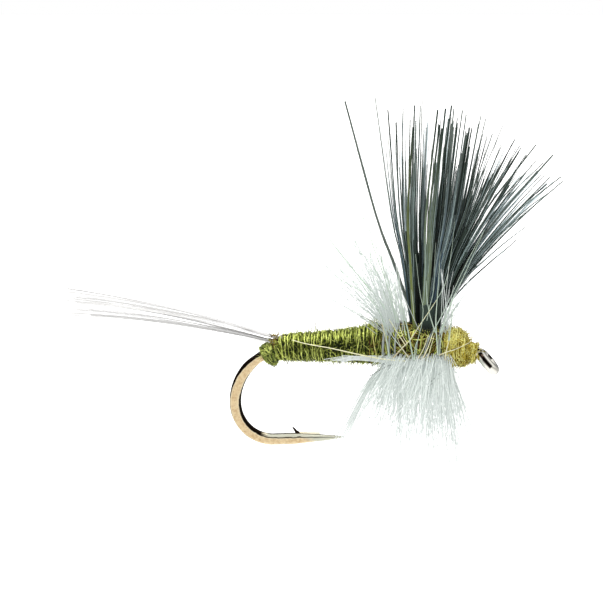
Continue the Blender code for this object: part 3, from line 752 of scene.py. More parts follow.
def strand_material(name, dark, middle, light, grain=0.09, lustre=0.45):
    """Spun dyed fibre: the tone of each filament, streaks along it and a silky lustre."""
    paint = Paint(name)
    tone = paint.maths("MULTIPLY", paint.attribute("tone"), 0.62)
    streak = paint.maths("MULTIPLY", paint.noise(grain * MM, detail=4.0), 0.80)
    value = paint.maths("ADD", tone, streak)
    paint.colour(paint.ramp(value, (0.40, dark), (0.62, middle), (0.88, light)))
    paint.bump(paint.noise(0.035 * MM, detail=3.0), 0.5, 0.012 * MM)
    rough = paint.steps(paint.noise(0.06 * MM), 0.3, 0.7, 0.28, 0.50)
    paint.set(**{"Roughness": rough, "Specular IOR Level": 0.30, "Metallic": lustre})
    return paint.material


def painted_shade_core_material(name, dark, light):
    """What shows between the strands, painted dark as the shade in the gaps."""
    paint = Paint(name)
    paint.colour(paint.ramp(paint.noise(0.12 * MM, detail=5.0), (0.35, dark), (0.75, light)))
    paint.bump(paint.noise(0.06 * MM, detail=4.0), 0.8, 0.03 * MM)
    paint.set(**{"Roughness": 0.85, "Specular IOR Level": 0.15})
    return paint.material


def hook_material():
    """Lacquered bronze on the flats, with a painted highlight line and a painted dark reflection along their
    edges, bare bright wire at the eye and point.
    """
    hook = sizes().hook
    paint = Paint("lacquered_bronze")
    mottle = paint.ramp(
        paint.noise(0.17 * MM, detail=6.0, roughness=0.7), (0.32, hook.brown), (0.56, hook.gold)
    )
    bare = paint.attribute("bare")
    metal = paint.mix(bare, mottle, hook.steel)
    outward = paint.attribute("outward")
    ragged = paint.steps(paint.noise(0.22 * MM, detail=4.0), 0.3, 0.7, -0.06, 0.06)
    silver = paint.attribute("silver")
    reaches = []
    for name, sign in (("outer_band", 1.0), ("inner_band", -1.0)):
        reach = paint.maths("MULTIPLY", outward, sign)
        reaches.append(paint.maths("ADD", paint.maths("ADD", reach, paint.attribute(name)), ragged))
    # Where the painted highlight line is, where the painted dark reflection starts past it,
    # and where silver shows past that
    line, edge, past = (0.80, 0.92), (0.98, 1.08), (1.16, 1.26)
    outer_reflection = paint.steps(reaches[0], *edge)
    inner_reflection = paint.steps(reaches[1], *edge)
    past_line = paint.steps(reaches[1], *past)
    inner_silver = paint.maths("MULTIPLY", past_line, silver)
    pale = paint.maths("MAXIMUM", paint.steps(reaches[0], *line), paint.steps(reaches[1], *line))
    # The pale line beside the edge is a painted highlight
    metal = paint.mix(paint.maths("MULTIPLY", pale, 0.5), metal, hook.painted_edge_highlight)
    dark = paint.maths("MAXIMUM", outer_reflection, inner_reflection)
    dark = paint.maths("SUBTRACT", dark, inner_silver)
    top_line = paint.maths("MULTIPLY", paint.steps(outward, -0.68, -0.82, 0.0, 0.9), silver)
    dark = paint.maths("MAXIMUM", dark, top_line)
    # Painted dark reflections on the eye
    dark = paint.maths("MAXIMUM", dark, paint.attribute("eye_dark_reflection"))
    worn = paint.maths("MAXIMUM", inner_silver, paint.attribute("worn"))
    metal = paint.mix(worn, metal, hook.silver)
    # The dark edges are painted dark reflections
    paint.colour(paint.mix(dark, metal, hook.painted_edge_reflection))
    paint.bump(paint.noise(0.05 * MM, detail=3.0), 0.25, 0.006 * MM)
    metallic = paint.maths("MAXIMUM", paint.steps(bare, 0.0, 1.0, 0.40, 1.0), dark)
    paint.set(Metallic=metallic, Roughness=paint.steps(bare, 0.0, 1.0, 0.42, 0.10))
    return paint.material


# The hook


def wire_radius_at(along):
    """Half the wire's width in the plane of the hook."""
    hook = sizes().hook
    neck_end = stretch_end(0)
    if along < neck_end:
        share = along / neck_end
        return (hook.neck + share * (hook.wire - hook.neck)) / 2
    share = forged_share(along)
    full = (hook.wire + share * (hook.forged_width - hook.wire)) / 2
    left = max(0.0, stretch_end(4) - along) / hook.taper
    if left >= 1:
        return full
    return hook.point / 2 + (full - hook.point / 2) * left**0.75


def forged_share(along):
    """How far the wire is hammered flat: 0 up to 34 degrees of the bend, then soon 1."""
    hook = sizes().hook
    starts = stretch_end(1) + hook.bend * math.radians(34)
    share = max(0.0, min(1.0, (along - starts) / (1.5 * hook.wire)))
    return share * share * (3 - 2 * share)


def wire_section(along, sides):
    """(across, outward, outward share) round the wire. The hammered flats have rounded shoulders."""
    hook = sizes().hook
    radius = wire_radius_at(along)
    share = forged_share(along)
    half = hook.wire / 2 + share * (hook.forged_thickness - hook.wire) / 2
    half = min(half, radius)
    section = []
    for side in range(sides):
        turn = FULL_TURN * side / sides
        across, outward = math.sin(turn), math.cos(turn)
        power = 2.0 + 2.2 * share
        reach = (abs(across / half) ** power + abs(outward / radius) ** power) ** (-1 / power)
        section.append((across * reach, outward * reach, outward * reach / radius))
    return section


def make_hook_mesh(material):
    hook = sizes().hook
    sides = 32
    bm = bmesh.new()
    bare, outward_share, outer_band, inner_band, silver, eye_dark_reflection, worn = (
        bm.verts.layers.float.new(name)
        for name in ("bare", "outward", "outer_band", "inner_band", "silver", "eye_dark_reflection", "worn")
    )
    end = stretch_end(4)
    stations = []
    for start, span, count in (
        (0, stretch_end(0), 8), (stretch_end(0), hook.shank, 30),
        (stretch_end(1), stretch_end(3) - stretch_end(1), 90), (stretch_end(3), hook.spear, 40),
    ):
        stations += [start + span * step / count for step in range(count)]
    stations.append(stretch_end(3) + hook.spear)
    rings = []
    for along in stations:
        place = wire_frame(along)
        near_eye = max(0.0, 1 - along / (0.5 * MM))
        ring = []
        for across, outward, share in wire_section(along, sides):
            vert = bm.verts.new(place @ Vector((across, outward, 0)))
            vert[bare] = near_eye
            vert[worn] = between(WORN, (end - along) / MM + 0.25 * share)
            vert[outward_share] = share
            for layer, table in ((outer_band, OUTER_REFLECTION_BAND), (inner_band, INNER_REFLECTION_BAND), (silver, SILVER)):
                vert[layer] = between(table, round_bend(along))
            ring.append(vert)
        rings.append(ring)
    skin(bm, rings)
    add_eye_ring(bm, bare, eye_dark_reflection)
    add_barb(bm, inner_band, worn)
    bmesh.ops.recalc_face_normals(bm, faces=bm.faces)
    mesh = mesh_from(bm, "hook")
    mesh.shade_smooth()
    mesh.set_sharp_from_angle(angle=math.radians(55))
    return mesh_object("hook_wire", mesh, material)


# How far the painted dark reflection along the edge reaches in from the outside and the inside of the bend,
# in half widths of the wire, by how far round the bend it is: 0 where the shank ends, 1 where the spear starts,
# then 2 at the point
OUTER_REFLECTION_BAND = (
    (-0.1, 0.5), (0.0, 0.95), (0.25, 0.85), (0.42, 0.50), (0.56, 0.22), (0.7, 0.10), (1.0, 0.06), (2.0, 0.1),
)
INNER_REFLECTION_BAND = (
    (0.0, 0.0), (0.3, 0.05), (0.5, 0.20), (0.68, 0.50), (0.88, 0.72), (1.0, 0.85), (1.4, 0.95), (2.0, 1.0),
)
# Where the band inside the bend turns from the painted dark reflection to bare silver behind a thin dark line
SILVER = ((0.90, 0.0), (0.97, 1.0), (2.0, 1.0))
# How bare the sharpened end is, by millimetres from the point
WORN = ((1.25, 1.0), (1.75, 0.0))
# Painted dark reflections on the eye, on the wire's side that faces the camera: between how far round the wire,
# how far down the eye, and on which side
EYE_DARK_REFLECTIONS = ((-0.06, 0.52, -0.88, 0.52, -1), (0.55, 0.98, -0.62, 0.12, 1))


def round_bend(along):
    """How far round the bend a place is, as in the tables above."""
    start, end = stretch_end(1), stretch_end(3)
    if along > end:
        return 1 + (along - end) / sizes().hook.spear
    return (along - start) / (end - start)


def add_eye_ring(bm, bare, eye_dark_reflection):
    hook = sizes().hook
    radius = eye_ring_radius()
    covered = math.asin((hook.neck / 2 + 0.05 * MM) / radius)
    sweep = FULL_TURN - covered - math.asin(hook.eye_wire / 4 / radius)
    normal = eye_down().cross(ACROSS).normalized()
    steps, sides = 72, 24
    rings = []
    for step in range(steps + 1):
        turn = sweep * step / steps
        outward = -math.cos(turn) * eye_down() + math.sin(turn) * ACROSS
        ring = []
        for side in range(sides):
            around = FULL_TURN * side / sides
            reach = math.cos(around) * outward + math.sin(around) * normal
            vert = bm.verts.new(radius * outward + hook.eye_wire / 2 * reach)
            vert[bare] = 1.0
            rise = reach.dot(normal)
            # A weaker painted dark reflection on the two flat faces of the eye's ring
            vert[eye_dark_reflection] = 0.35 if abs(rise) > 0.96 else 0.0
            # Painted by where the camera stands: the dark reflections go on the wire's side that faces the camera
            near = -1 if outward.dot(view_direction()) > 0 else 1
            facing = reach.dot(view_direction()) > 0
            for low, high, first, last, side_of in EYE_DARK_REFLECTIONS:
                inside = first < outward.dot(eye_down()) < last
                if facing and inside and low < rise < high and near == side_of:
                    vert[eye_dark_reflection] = 1.0
            ring.append(vert)
        rings.append(ring)
    skin(bm, rings)


def add_barb(bm, band, worn):
    """A sliver cut up from the spear: a narrow wedge with a sharp lifted edge."""
    hook = sizes().hook
    root = stretch_end(4) - hook.barb_from_point
    place = wire_frame(root)
    surface = -wire_radius_at(root)
    lip = surface - hook.barb_height
    # Along the spear in barb lengths, height, half width in millimetres, how bare
    outline = (
        (-0.10, surface * 0.35, 0.166, 0.0), (-0.19, surface * 1.02, 0.09, 0.0), (-0.37, lip, 0.02, 0.0),
        (-0.30, lip - hook.barb_height * 0.02, 0.02, 0.0), (-0.10, lip + hook.barb_height * 0.62, 0.05, 0.0),
        (0.02, lip + hook.barb_height * 0.80, 0.05, 0.6), (0.50, lip + hook.barb_height * 0.90, 0.045, 0.9),
        (1.0, surface * 1.04, 0.045, 0.9), (1.1, surface * 0.60, 0.03, 1.0), (0.06, surface * 0.35, 0.166, 0.2),
    )
    near, far = [], []
    for along, outward, half, share in outline:
        for side, places in ((-half, near), (half, far)):
            vert = bm.verts.new(place @ Vector((side * MM, outward, along * hook.barb_length)))
            vert[band] = 2.0 * (1 - share)
            vert[worn] = share
            places.append(vert)
    bm.faces.new(near)
    bm.faces.new(far[::-1])
    for corner in range(len(outline)):
        after = (corner + 1) % len(outline)
        bm.faces.new((near[corner], far[corner], far[after], near[after]))


class DRYFLY_OT_hook(bpy.types.Operator):
    """Makes the hook: tapered neck, eye, shank, forged bend, spear, barb and point"""

    bl_idname = "dry_fly.hook"
    bl_label = "Hook"

    def execute(self, context):
        finish_piece(make_hook_mesh(hook_material()), "hook_bronze", "hook")
        return {"FINISHED"}


# Dubbing and thread


def abdomen_ends():
    """Both ends of the abdomen, just under the strand: (along, radius, lift)."""
    low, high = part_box("abdomen_dubbing")
    start, _ = span_of("abdomen_dubbing")
    shank_z = wire_frame(stretch_end(0)).translation.z
    front_radius = (high[1] - low[1]) / 2
    front_lift = high[2] - shank_z - front_radius
    span, back_radius, back_lift = 4.36 * MM, 0.585 * MM, 0.128 * MM
    return (start, front_radius, front_lift), (start + span, back_radius, back_lift)


# Painted light and shade on a wound strand: how much lighter it is by how high it passes, 1 on the back,
# 0 at the side, -1 under the belly
PAINTED_LIGHT_BY_HEIGHT = (
    (-1.0, 0.0), (-0.5, -0.05), (-0.25, -0.20), (-0.05, -0.85),
    (0.22, -0.95), (0.38, 0.05), (0.55, 0.38), (1.0, 0.25),
)


def wind(
    guides, chance, start, end, turns, filaments, size, radius_at, lift_at, loose, tones, shade=0.0, table=PAINTED_LIGHT_BY_HEIGHT
):
    """Winds a strand of several filaments round the body, turn beside turn, and paints light and shade on it."""
    points_per_turn = 26
    pitch = (end - start) / turns
    for filament in range(filaments):
        offset = (filament + 0.5) / filaments - 0.5
        phase = chance.uniform(0, FULL_TURN)
        wave = chance.uniform(2.0, 5.0)
        tone = chance.uniform(*tones)
        points, thickness = [], []
        drift = rise = 0.0
        count = turns * points_per_turn
        for step in range(count + 1):
            turn = step / points_per_turn
            drift = 0.86 * drift + chance.gauss(0, 0.05) * pitch * loose
            rise = 0.80 * rise + chance.gauss(0, 0.10) * size * loose
            along = start + pitch * (turn + offset * 0.62) + drift
            along = max(start, min(end, along))
            hump = 1 - (2 * offset) ** 2
            radius = radius_at(along) + size * (0.25 + 0.75 * hump) + rise
            radius += 0.15 * size * math.sin(turn * wave + phase)
            points.append(around_wire(along, turn * FULL_TURN + 0.3 * offset, radius, lift_at(along)))
            thickness.append(size / 2 * chance.uniform(0.85, 1.15))
        # A new tone every turn keeps one filament from showing as one stripe.
        for first in range(0, count, points_per_turn):
            last = first + points_per_turn + 1
            base = tone + chance.gauss(0, 0.2)
            # The painted light and shade fade, and the strand pales, towards the end of the winding.
            fade = max(0, min(1, 3.6 * first / count - 2.4))
            painted_tones = []
            for step in range(first, last):
                high = math.cos(step / points_per_turn * FULL_TURN)
                # Light and shade painted on by how high the point passes round the body
                painted_light = shade * ((1 - 0.85 * fade) * between(table, high) + 0.30 * fade)
                painted_tones.append(min(1, max(0, base + painted_light)))
            guides.add(points[first:last], thickness[first:last], painted_tones)


# How much fuller the abdomen is than a plain cone, in millimetres, from its front to its back
SWELL = ((0.0, 0.09), (0.10, 0.06), (0.22, -0.01), (0.45, -0.05), (0.90, -0.05), (1.0, -0.14))


def make_abdomen():
    body = sizes().body
    chance = random.Random(41)
    front, back = abdomen_ends()
    span = back[0] - front[0]

    def radius_at(along):
        share = (along - front[0]) / span
        full = front[1] + (back[1] - front[1]) * share
        return full + between(SWELL, share) * MM - body.filament * 1.25

    def lift_at(along):
        share = (along - front[0]) / span
        return front[2] + (back[2] - front[2]) * share + between(SWELL, share) * 0.5 * MM

    # The core is painted nearly black, as deep shade between the turns
    dark = painted_shade_core_material("olive_core", body.olive_dark, 0.3 * Vector(body.rear_green))
    core = loft("abdomen_core", front[0], back[0], radius_at, lift_at, dark, count=24)
    strand = strand_material("olive_strand", body.olive_dark, body.olive, body.olive_light)
    guides = Guides()
    # The strand is painted lighter on the back and darker at the sides, as light and shade
    wind(
        guides, chance, front[0] + INSET, back[0] - INSET, body.abdomen_turns, body.strand_filaments,
        body.filament, radius_at, lift_at, loose=1.9, tones=(0.05, 0.95), shade=1.0,
    )
    tangle(
        guides, chance, 260, front[0] + INSET, back[0] - INSET,
        lambda along: radius_at(along) + body.filament, lift_at, size=0.028 * MM, reach=0.9 * MM,
        heading=(0.0, 0.35),
    )
    wound = fibres_from(guides, "abdomen_strand", strand, sides=5)
    fuzz = fuzz_from(
        core, "abdomen_fuzz", strand, body.fuzz_density, body.fuzz_length, body.fuzz, lean=0.8, seed=11,
    )
    return join("abdomen", core, wound, fuzz)


class DRYFLY_OT_abdomen(bpy.types.Operator):
    """Winds the olive abdomen over its core, with loose hairs"""

    bl_idname = "dry_fly.abdomen"
    bl_label = "Abdomen"

    def execute(self, context):
        finish_piece(make_abdomen(), "olive_dubbing", "abdomen_dubbing")
        return {"FINISHED"}


class DRYFLY_OT_tail_prop(bpy.types.Operator):
    """Winds the small lump behind the tail"""

    bl_idname = "dry_fly.tail_prop"
    bl_label = "Tail prop"

    def execute(self, context):
        body = sizes().body
        chance = random.Random(5)
        start = abdomen_ends()[1][0] + INSET
        size = 0.55 * MM
        radii = ((0.0, 0.27), (0.2, 0.36), (0.5, 0.38), (0.8, 0.33), (1.0, 0.25))
        lifts = ((0.0, -0.05), (0.2, -0.08), (0.5, -0.06), (0.8, -0.01), (1.0, 0.0))

        def radius_at(along):
            return between(radii, (along - start) / size) * MM

        def lift_at(along):
            return between(lifts, (along - start) / size) * MM

        inside = painted_shade_core_material("rear_core", body.olive_dark, body.rear_green)
        core = loft("prop_core", start, start + size, radius_at, lift_at, inside, count=12, sides=24)
        pale = 0.72 * Vector(body.olive_light)
        strand = strand_material("rear_strand", body.olive_dark, body.rear_green, pale)
        guides = Guides()
        wind(
            guides, chance, start, start + size * 0.97, turns=5, filaments=5, size=0.045 * MM,
            radius_at=lambda along: radius_at(along) + 0.02 * MM, lift_at=lift_at, loose=1.8, tones=(0.1, 0.9),
        )
        tangle(
            guides, chance, 130, start, start + size, lambda along: radius_at(along) + 0.05 * MM, lift_at,
            size=0.048 * MM, reach=0.9 * MM, heading=(0.6, 0.4),
        )
        wound = fibres_from(guides, "prop_strand", strand, sides=5)
        fuzz = fuzz_from(
            core, "prop_fuzz", strand, density=120, reach=0.42 * MM, thickness=0.024 * MM, lean=0.9, seed=12,
        )
        knot = Guides()
        for _ in range(34):
            middle = spot(chance.gauss(-8.80, 0.10), chance.gauss(0.72, 0.14), chance.uniform(-0.52, 0.0))
            way = Vector((chance.gauss(0, 1), chance.gauss(0, 0.5), chance.gauss(0, 1))).normalized()
            way *= chance.uniform(0.10, 0.17) * MM
            line = [middle - way, middle + Vector((0, -0.03 * MM, 0)), middle + way]
            knot.add(line, [0.013 * MM, 0.02 * MM, 0.012 * MM], chance.random())
        rust = strand_material("rust_knot", body.olive_dark, body.thorax_brown, body.thorax_gold)
        piece = join("tail_prop", core, wound, fuzz, fibres_from(knot, "knot", rust, sides=4))
        finish_piece(piece, "olive_dubbing", "tail_prop_dubbing")
        return {"FINISHED"}


def thorax_shape():
    """(start, end, radius at, lift at) of the thorax, just inside its CAD solid."""
    start, end = span_of("thorax_dubbing")
    full, lift = shell_of("thorax_dubbing")
    front_radius = 0.76 * MM
    back_radius = abdomen_ends()[0][1]
    shoulder = 0.25 * (end - start)

    def radius_at(along):
        if along < start + shoulder:
            return front_radius + (full - front_radius) * (along - start) / shoulder
        if along > end - shoulder:
            return back_radius + (full - back_radius) * (end - along) / shoulder
        return full

    return start, end, radius_at, lambda along: lift


def tangle(guides, chance, count, start, end, radius_at, lift_at, size, reach, heading):
    """Short curved fibres laid every way over a body, some of them lifting off it."""
    for _ in range(count):
        along = chance.uniform(start, end)
        turn = chance.uniform(0, FULL_TURN)
        run = reach * chance.uniform(0.4, 1.0)
        way = chance.gauss(*heading)
        curl = chance.gauss(0, 0.9)
        height = chance.uniform(-0.4, 1.2) * size
        lifted = chance.random() ** 3 * 0.16 * MM
        points, thickness = [], []
        steps = 8
        thick = size / 2 * chance.uniform(0.6, 1.2)
        for step in range(steps + 1):
            share = step / steps
            radius = radius_at(along) + height + lifted * (2 * share - 1) ** 2
            points.append(around_wire(along, turn, radius, lift_at(along)))
            direction = way + curl * (share - 0.5)
            along += math.sin(direction) * run / steps
            turn += math.cos(direction) * run / steps / radius
            along = max(start, min(end, along))
            thickness.append(thick * (1 - 0.6 * abs(2 * share - 1) ** 3))
        guides.add(points, thickness, chance.random())


class DRYFLY_OT_thorax(bpy.types.Operator):
    """Dubs the thorax: olive, gold and brown fibres laid loosely over a dark core"""

    bl_idname = "dry_fly.thorax"
    bl_label = "Thorax"

    def execute(self, context):
        body = sizes().body
        chance = random.Random(23)
        start, end, radius_at, lift_at = thorax_shape()

        def inner(along):
            """Just inside the solid, but over the abdomen's front where the thorax runs onto it."""
            return radius_at(min(along, end)) - 0.07 * MM * between(((end, 1.0), (end + 0.1 * MM, -0.2)), along)

        inside = painted_shade_core_material("thorax_core", body.olive_dark, body.thorax_brown)
        core = loft("thorax_core", start, end, inner, lift_at, inside, count=16)
        parts = [core]
        for name, share, dark, middle, light in (
            ("olive", 0.64, body.olive_dark, body.olive, body.olive_light),
            ("gold", 0.16, body.thorax_brown, body.thorax_gold, sizes().head.light),
            ("brown", 0.20, body.olive_dark, body.thorax_brown, body.thorax_gold),
        ):
            guides = Guides()
            tangle(
                guides, chance, round(body.thorax_fibres * share), start + INSET,
                end + (0.02 if name == "olive" else 0.42) * MM, inner, lift_at, size=0.05 * MM, reach=1.5 * MM,
                heading=(0.0, 0.8),
            )
            material = strand_material(f"thorax_{name}", dark, middle, light)
            parts.append(fibres_from(guides, f"thorax_{name}", material, sides=4))
            parts.append(
                fuzz_from(
                    core, f"thorax_{name}_fuzz", material, density=90 * share, reach=0.42 * MM,
                    thickness=0.022 * MM, lean=0.9, seed=31,
                )
            )
        piece = join("thorax", *parts)
        finish_piece(piece, "thorax_dubbing", "thorax_dubbing")
        return {"FINISHED"}


# Painted light and shade on the head's yarn: how much paler it is than its middle tone, from its underside to
# its top
HEAD_PAINTED_LIGHT = ((-1.0, -0.5), (-0.5, -0.42), (-0.1, -0.10), (0.3, 0.15), (1.0, 0.3))


def make_yarn(name, start, end, turns, filaments, radius_at, lift_at, seed, nodes):
    """A short body of golden yarn: core, wound filaments, loose ends and fuzz."""
    head = sizes().head
    chance = random.Random(seed)

    def inner(along):
        return radius_at(along) - head.filament

    inside = painted_shade_core_material(name + "_core", head.shade, head.gold)
    core = loft(name + "_core", start, end, inner, lift_at, inside, count=14)
    strand = strand_material(name + "_yarn", head.shade, head.gold, head.light, lustre=0.25)
    guides = Guides()
    # The yarn is painted lighter on top and darker underneath, as light and shade
    wind(
        guides, chance, start + INSET, end - INSET, turns, filaments, head.filament, inner, lift_at, loose=2.2,
        tones=(0.2, 1.0), shade=0.8, table=HEAD_PAINTED_LIGHT,
    )
    count = round(330 * (end - start) / MM)
    tangle(
        guides, chance, count, start, end, radius_at, lift_at, size=0.03 * MM, reach=0.8 * MM,
        heading=(0.1, 0.9),
    )
    wound = fibres_from(guides, name + "_strand", strand, sides=4)
    fuzz = fuzz_from(
        core, name + "_fuzz", strand, density=170, reach=0.36 * MM, thickness=0.026 * MM, lean=0.8, seed=seed,
    )
    piece = join(name, core, wound, fuzz)
    finish_piece(piece, "gold_thread", *nodes)


class DRYFLY_OT_head(bpy.types.Operator):
    """Winds the golden head and the whip finish against the eye"""

    bl_idname = "dry_fly.head"
    bl_label = "Head"

    def execute(self, context):
        head = sizes().head
        start, end = span_of("head_wraps")
        radius, _ = shell_of("head_wraps")
        full = 0.76
        profile = (
            (0.0, 0.46), (0.06, 0.60), (0.16, 0.70), (0.35, 0.755), (0.7, full), (0.92, 0.72), (1.0, 0.66),
        )
        lifts = ((0.0, 0.02), (0.16, 0.10), (0.4, 0.18), (1.0, 0.22))

        def radius_at(along):
            return between(profile, (along - start) / (end - start)) * radius / full

        def lift_at(along):
            return between(lifts, (along - start) / (end - start)) * MM

        make_yarn("head", start, end, head.turns, 5, radius_at, lift_at, 77, ["head_wraps"])
        start, end = span_of("whip_finish")
        make_yarn(
            "whip", start, end, 3, 4, lambda along: (0.345 + 0.06 * (along - start) / (end - start)) * MM,
            lambda along: -0.03 * MM, 78, ["whip_finish"],
        )
        return {"FINISHED"}


class DRYFLY_OT_thread(bpy.types.Operator):
    """Gives the tying thread its twisted, waxed finish"""

    bl_idname = "dry_fly.thread"
    bl_label = "Thread"

    def execute(self, context):
        body, head = sizes().body, sizes().head
        olive = strand_material("olive_thread", body.olive_dark, body.olive, body.olive_light, grain=0.05)
        gold = strand_material("gold_thread", head.shade, head.gold, head.light, grain=0.05)
        for name in ("thread_base", "tail_wraps", "wing_tie_wraps", "wing_post_wraps"):
            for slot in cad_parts[name].material_slots:
                slot.material = gold if name == "wing_post_wraps" else olive
        return {"FINISHED"}


# Feather fibres


class DRYFLY_OT_tail(bpy.types.Operator):
    """Ties in the tail: pale fibres that fan a little and droop to their tips"""

    bl_idname = "dry_fly.tail"
    bl_label = "Tail"

    def execute(self, context):
        tail = sizes().tail
        chance = random.Random(9)
        guides = Guides()
        base = wire_frame(stretch_end(0))
        start = abdomen_ends()[1][0] - stretch_end(0)
        hidden = 0.8 * MM
        for number in range(tail.fibres):
            place = 2 * number / (tail.fibres - 1) - 1
            upper = number % 2
            row = (0.33 + 0.17 * upper + chance.uniform(-0.03, 0.05)) * MM
            spread = chance.uniform(-0.045, 0.030)
            turn = place * (0.52 if not upper else 0.40)
            slope, sag = 0.258 + 0.045 * upper + spread, 0.098
            reach = tail.reach * chance.uniform(0.84, 1.0)
            if number == 0:
                slope, sag, reach = 0.200, 0.150, tail.reach * 0.70
            if number in (3, 8):
                reach = tail.reach
            fan = math.tan(tail.fan) * place * chance.uniform(0.85, 1.1)
            wave = chance.uniform(-0.02, 0.02)
            points, thickness = [], []
            for step in range(15):
                share = step / 14
                run = share * (reach + hidden) - hidden
                out = max(0.0, run)
                rise = out * (slope - sag * out / reach) + wave * MM * math.sin(share * 6)
                across = row * math.sin(turn) + fan * out * (out / reach) ** 0.3
                points.append(base @ Vector((across, row * math.cos(turn) + rise, start + run)))
                thickness.append(tail.thickness / 2 * (1 - 0.22 * share))
            guides.add(points, thickness, chance.random())
        material = feather_material(
            "tail_barb", tail.shade, tail.pale, tail.pale, root_ends=0.22, tip_starts=0.95, mottling=0.10,
            roughness=0.42, sheen=0.15,
        )
        piece = fibres_from(guides, "tail_fibres", material, sides=6)
        finish_piece(piece, "tail_barb", *[f"tail_fibre_{number}" for number in range(1, 9)])
        return {"FINISHED"}


# By where a fibre stands at 6 mm above the eye: where it stands at 4 mm, and at 2 mm
FAN = (
    (-4.6, -3.85, -3.16),
    (-3.95, -3.5, -3.22),
    (-3.15, -3.1, -3.02),
    (-2.55, -2.55, -2.64),
    (-1.5, -1.95, -2.26),
    (-0.3, -1.32, -1.98),
    (0.5, -0.9, -1.86),
    (1.6, -0.38, -1.78),
)
# By the same: how far ahead and how high its tip is
TIPS = (
    (-4.0, -4.6, 10.4),
    (-3.1, -3.0, 10.4),
    (-2.0, -1.65, 10.3),
    (-1.0, -0.2, 9.9),
    (-0.5, 0.95, 9.1),
    (0.0, 1.65, 8.7),
    (0.5, 2.5, 8.3),
    (1.6, 3.1, 7.3),
)

# The leading fibres: ahead at 6 mm, tip ahead, tip height, across, thickness, kind
LEADING = (
    (-4.6, -5.87, 10.6, -0.3, 1.4, "grey"),
    (-3.95, -4.62, 10.75, 0.2, 0.75, "grey"),
    (-3.75, -4.11, 10.27, -0.4, 0.8, "slate"),
    (-3.6, -3.75, 9.72, 0.3, 0.85, "slate"),
    (-3.49, -3.48, 10.3, -0.2, 0.95, "slate"),
    (-3.3, -3.1, 9.6, -1.05, 1.35, "khaki"),
    (-3.26, -3.22, 9.9, -1.0, 0.9, "khaki"),
    (-3.14, -3.02, 10.45, -0.45, 1.15, "black"),
    (-3.02, -2.94, 9.8, 0.1, 0.9, "slate"),
    (-2.92, -2.78, 10.45, -0.3, 0.75, "slate"),
    (-2.8, -2.67, 10.6, 0.35, 0.7, "grey"),
    (-2.56, -2.1, 10.3, -1.05, 1.2, "sage"),
    (-2.42, -2.02, 9.7, -0.98, 1.2, "sage"),
    (-2.31, -1.92, 9.55, -1.02, 1.4, "sage"),
    (-2.22, -1.78, 10.35, -0.95, 1.15, "sage"),
    (-2.08, -1.5, 10.45, -0.4, 1.1, "black"),
    (-1.94, -1.62, 9.9, -0.2, 1.1, "black"),
    (-1.86, -1.36, 10.3, 0.3, 0.9, "slate"),
    (-1.76, -1.45, 9.6, -0.92, 1.0, "blue"),
    (-1.64, -1.05, 10.25, -0.3, 0.9, "slate"),
    (-1.5, -0.93, 10.1, -0.85, 0.85, "blue"),
    (-1.36, -0.76, 9.55, -0.4, 1.0, "black"),
    (-1.26, -0.62, 9.5, 0.4, 0.95, "slate"),
    (-1.14, -0.28, 10.05, -0.2, 0.8, "slate"),
    (-1.03, -0.05, 9.9, 0.3, 0.7, "grey"),
    (-0.96, 0.17, 9.3, -0.4, 0.8, "slate"),
    (-0.88, 0.63, 9.6, 0.2, 0.6, "grey"),
    (-0.7, 0.55, 8.8, -0.3, 0.75, "slate"),
    (-0.52, 1.12, 9.05, 0.1, 0.95, "slate"),
    (-0.45, 1.28, 8.82, -0.5, 0.7, "grey"),
    (-0.36, 1.4, 8.7, 0.4, 0.75, "slate"),
    (-0.28, 1.25, 8.55, -0.3, 0.85, "slate"),
    (-0.18, 2.0, 8.85, 0.1, 1.05, "grey"),
    (0.02, 1.95, 8.2, -0.4, 0.7, "slate"),
    (0.22, 2.3, 8.1, 0.3, 0.75, "slate"),
    (0.5, 2.66, 8.45, -0.2, 1.2, "grey"),
    (0.7, 2.2, 7.6, 0.35, 0.7, "slate"),
    (1.0, 2.4, 7.27, -0.4, 0.8, "slate"),
    (1.12, 3.02, 7.55, 0.1, 0.8, "grey"),
    (1.32, 2.7, 7.05, -0.2, 0.65, "slate"),
    (1.55, 3.1, 7.35, 0.3, 0.75, "slate"),
)
# Those of them, by where they stand at 6 mm, whose tips are dark
DARK_TIPPED = (-3.75, -3.60, -2.56, -1.36, -1.26, -0.52, -0.28, 1.00)
# The three low fibres at the front: where they pass, then the tip
LOW_FIBRES = (
    ((-1.95, 2.0), (-1.05, 3.25), (0.05, 4.3), (0.85, 4.98), (1.57, 5.52)),
    ((-2.0, 2.0), (-1.15, 3.35), (0.0, 4.75), (0.9, 5.55), (1.9, 6.35)),
    ((-1.95, 1.9), (-0.95, 3.1), (0.2, 4.15), (0.75, 4.6), (1.2, 5.0)),
)


def wing_tip(at_six):
    return between(TIPS, at_six), between(TIPS, at_six, 2)


def wing_line(at_six, tip_ahead, tip_height, across):
    """A fibre's line: up from the post, through where it stands at 2, 4 and 6 mm, to its tip."""
    lean = math.tan(sizes().wing.spread)
    places = []
    for ahead, height in (
        (between(FAN, at_six, 2) * 0.85 - 0.38, 1.30),
        (between(FAN, at_six, 2), 2.0),
        (between(FAN, at_six), 4.0),
        (at_six, 6.0),
        (tip_ahead, tip_height),
    ):
        side = across * (0.45 + 2.2 * lean * (height - 1.3))
        places.append(spot(ahead, height, side))
    return smooth_line(places, 16)


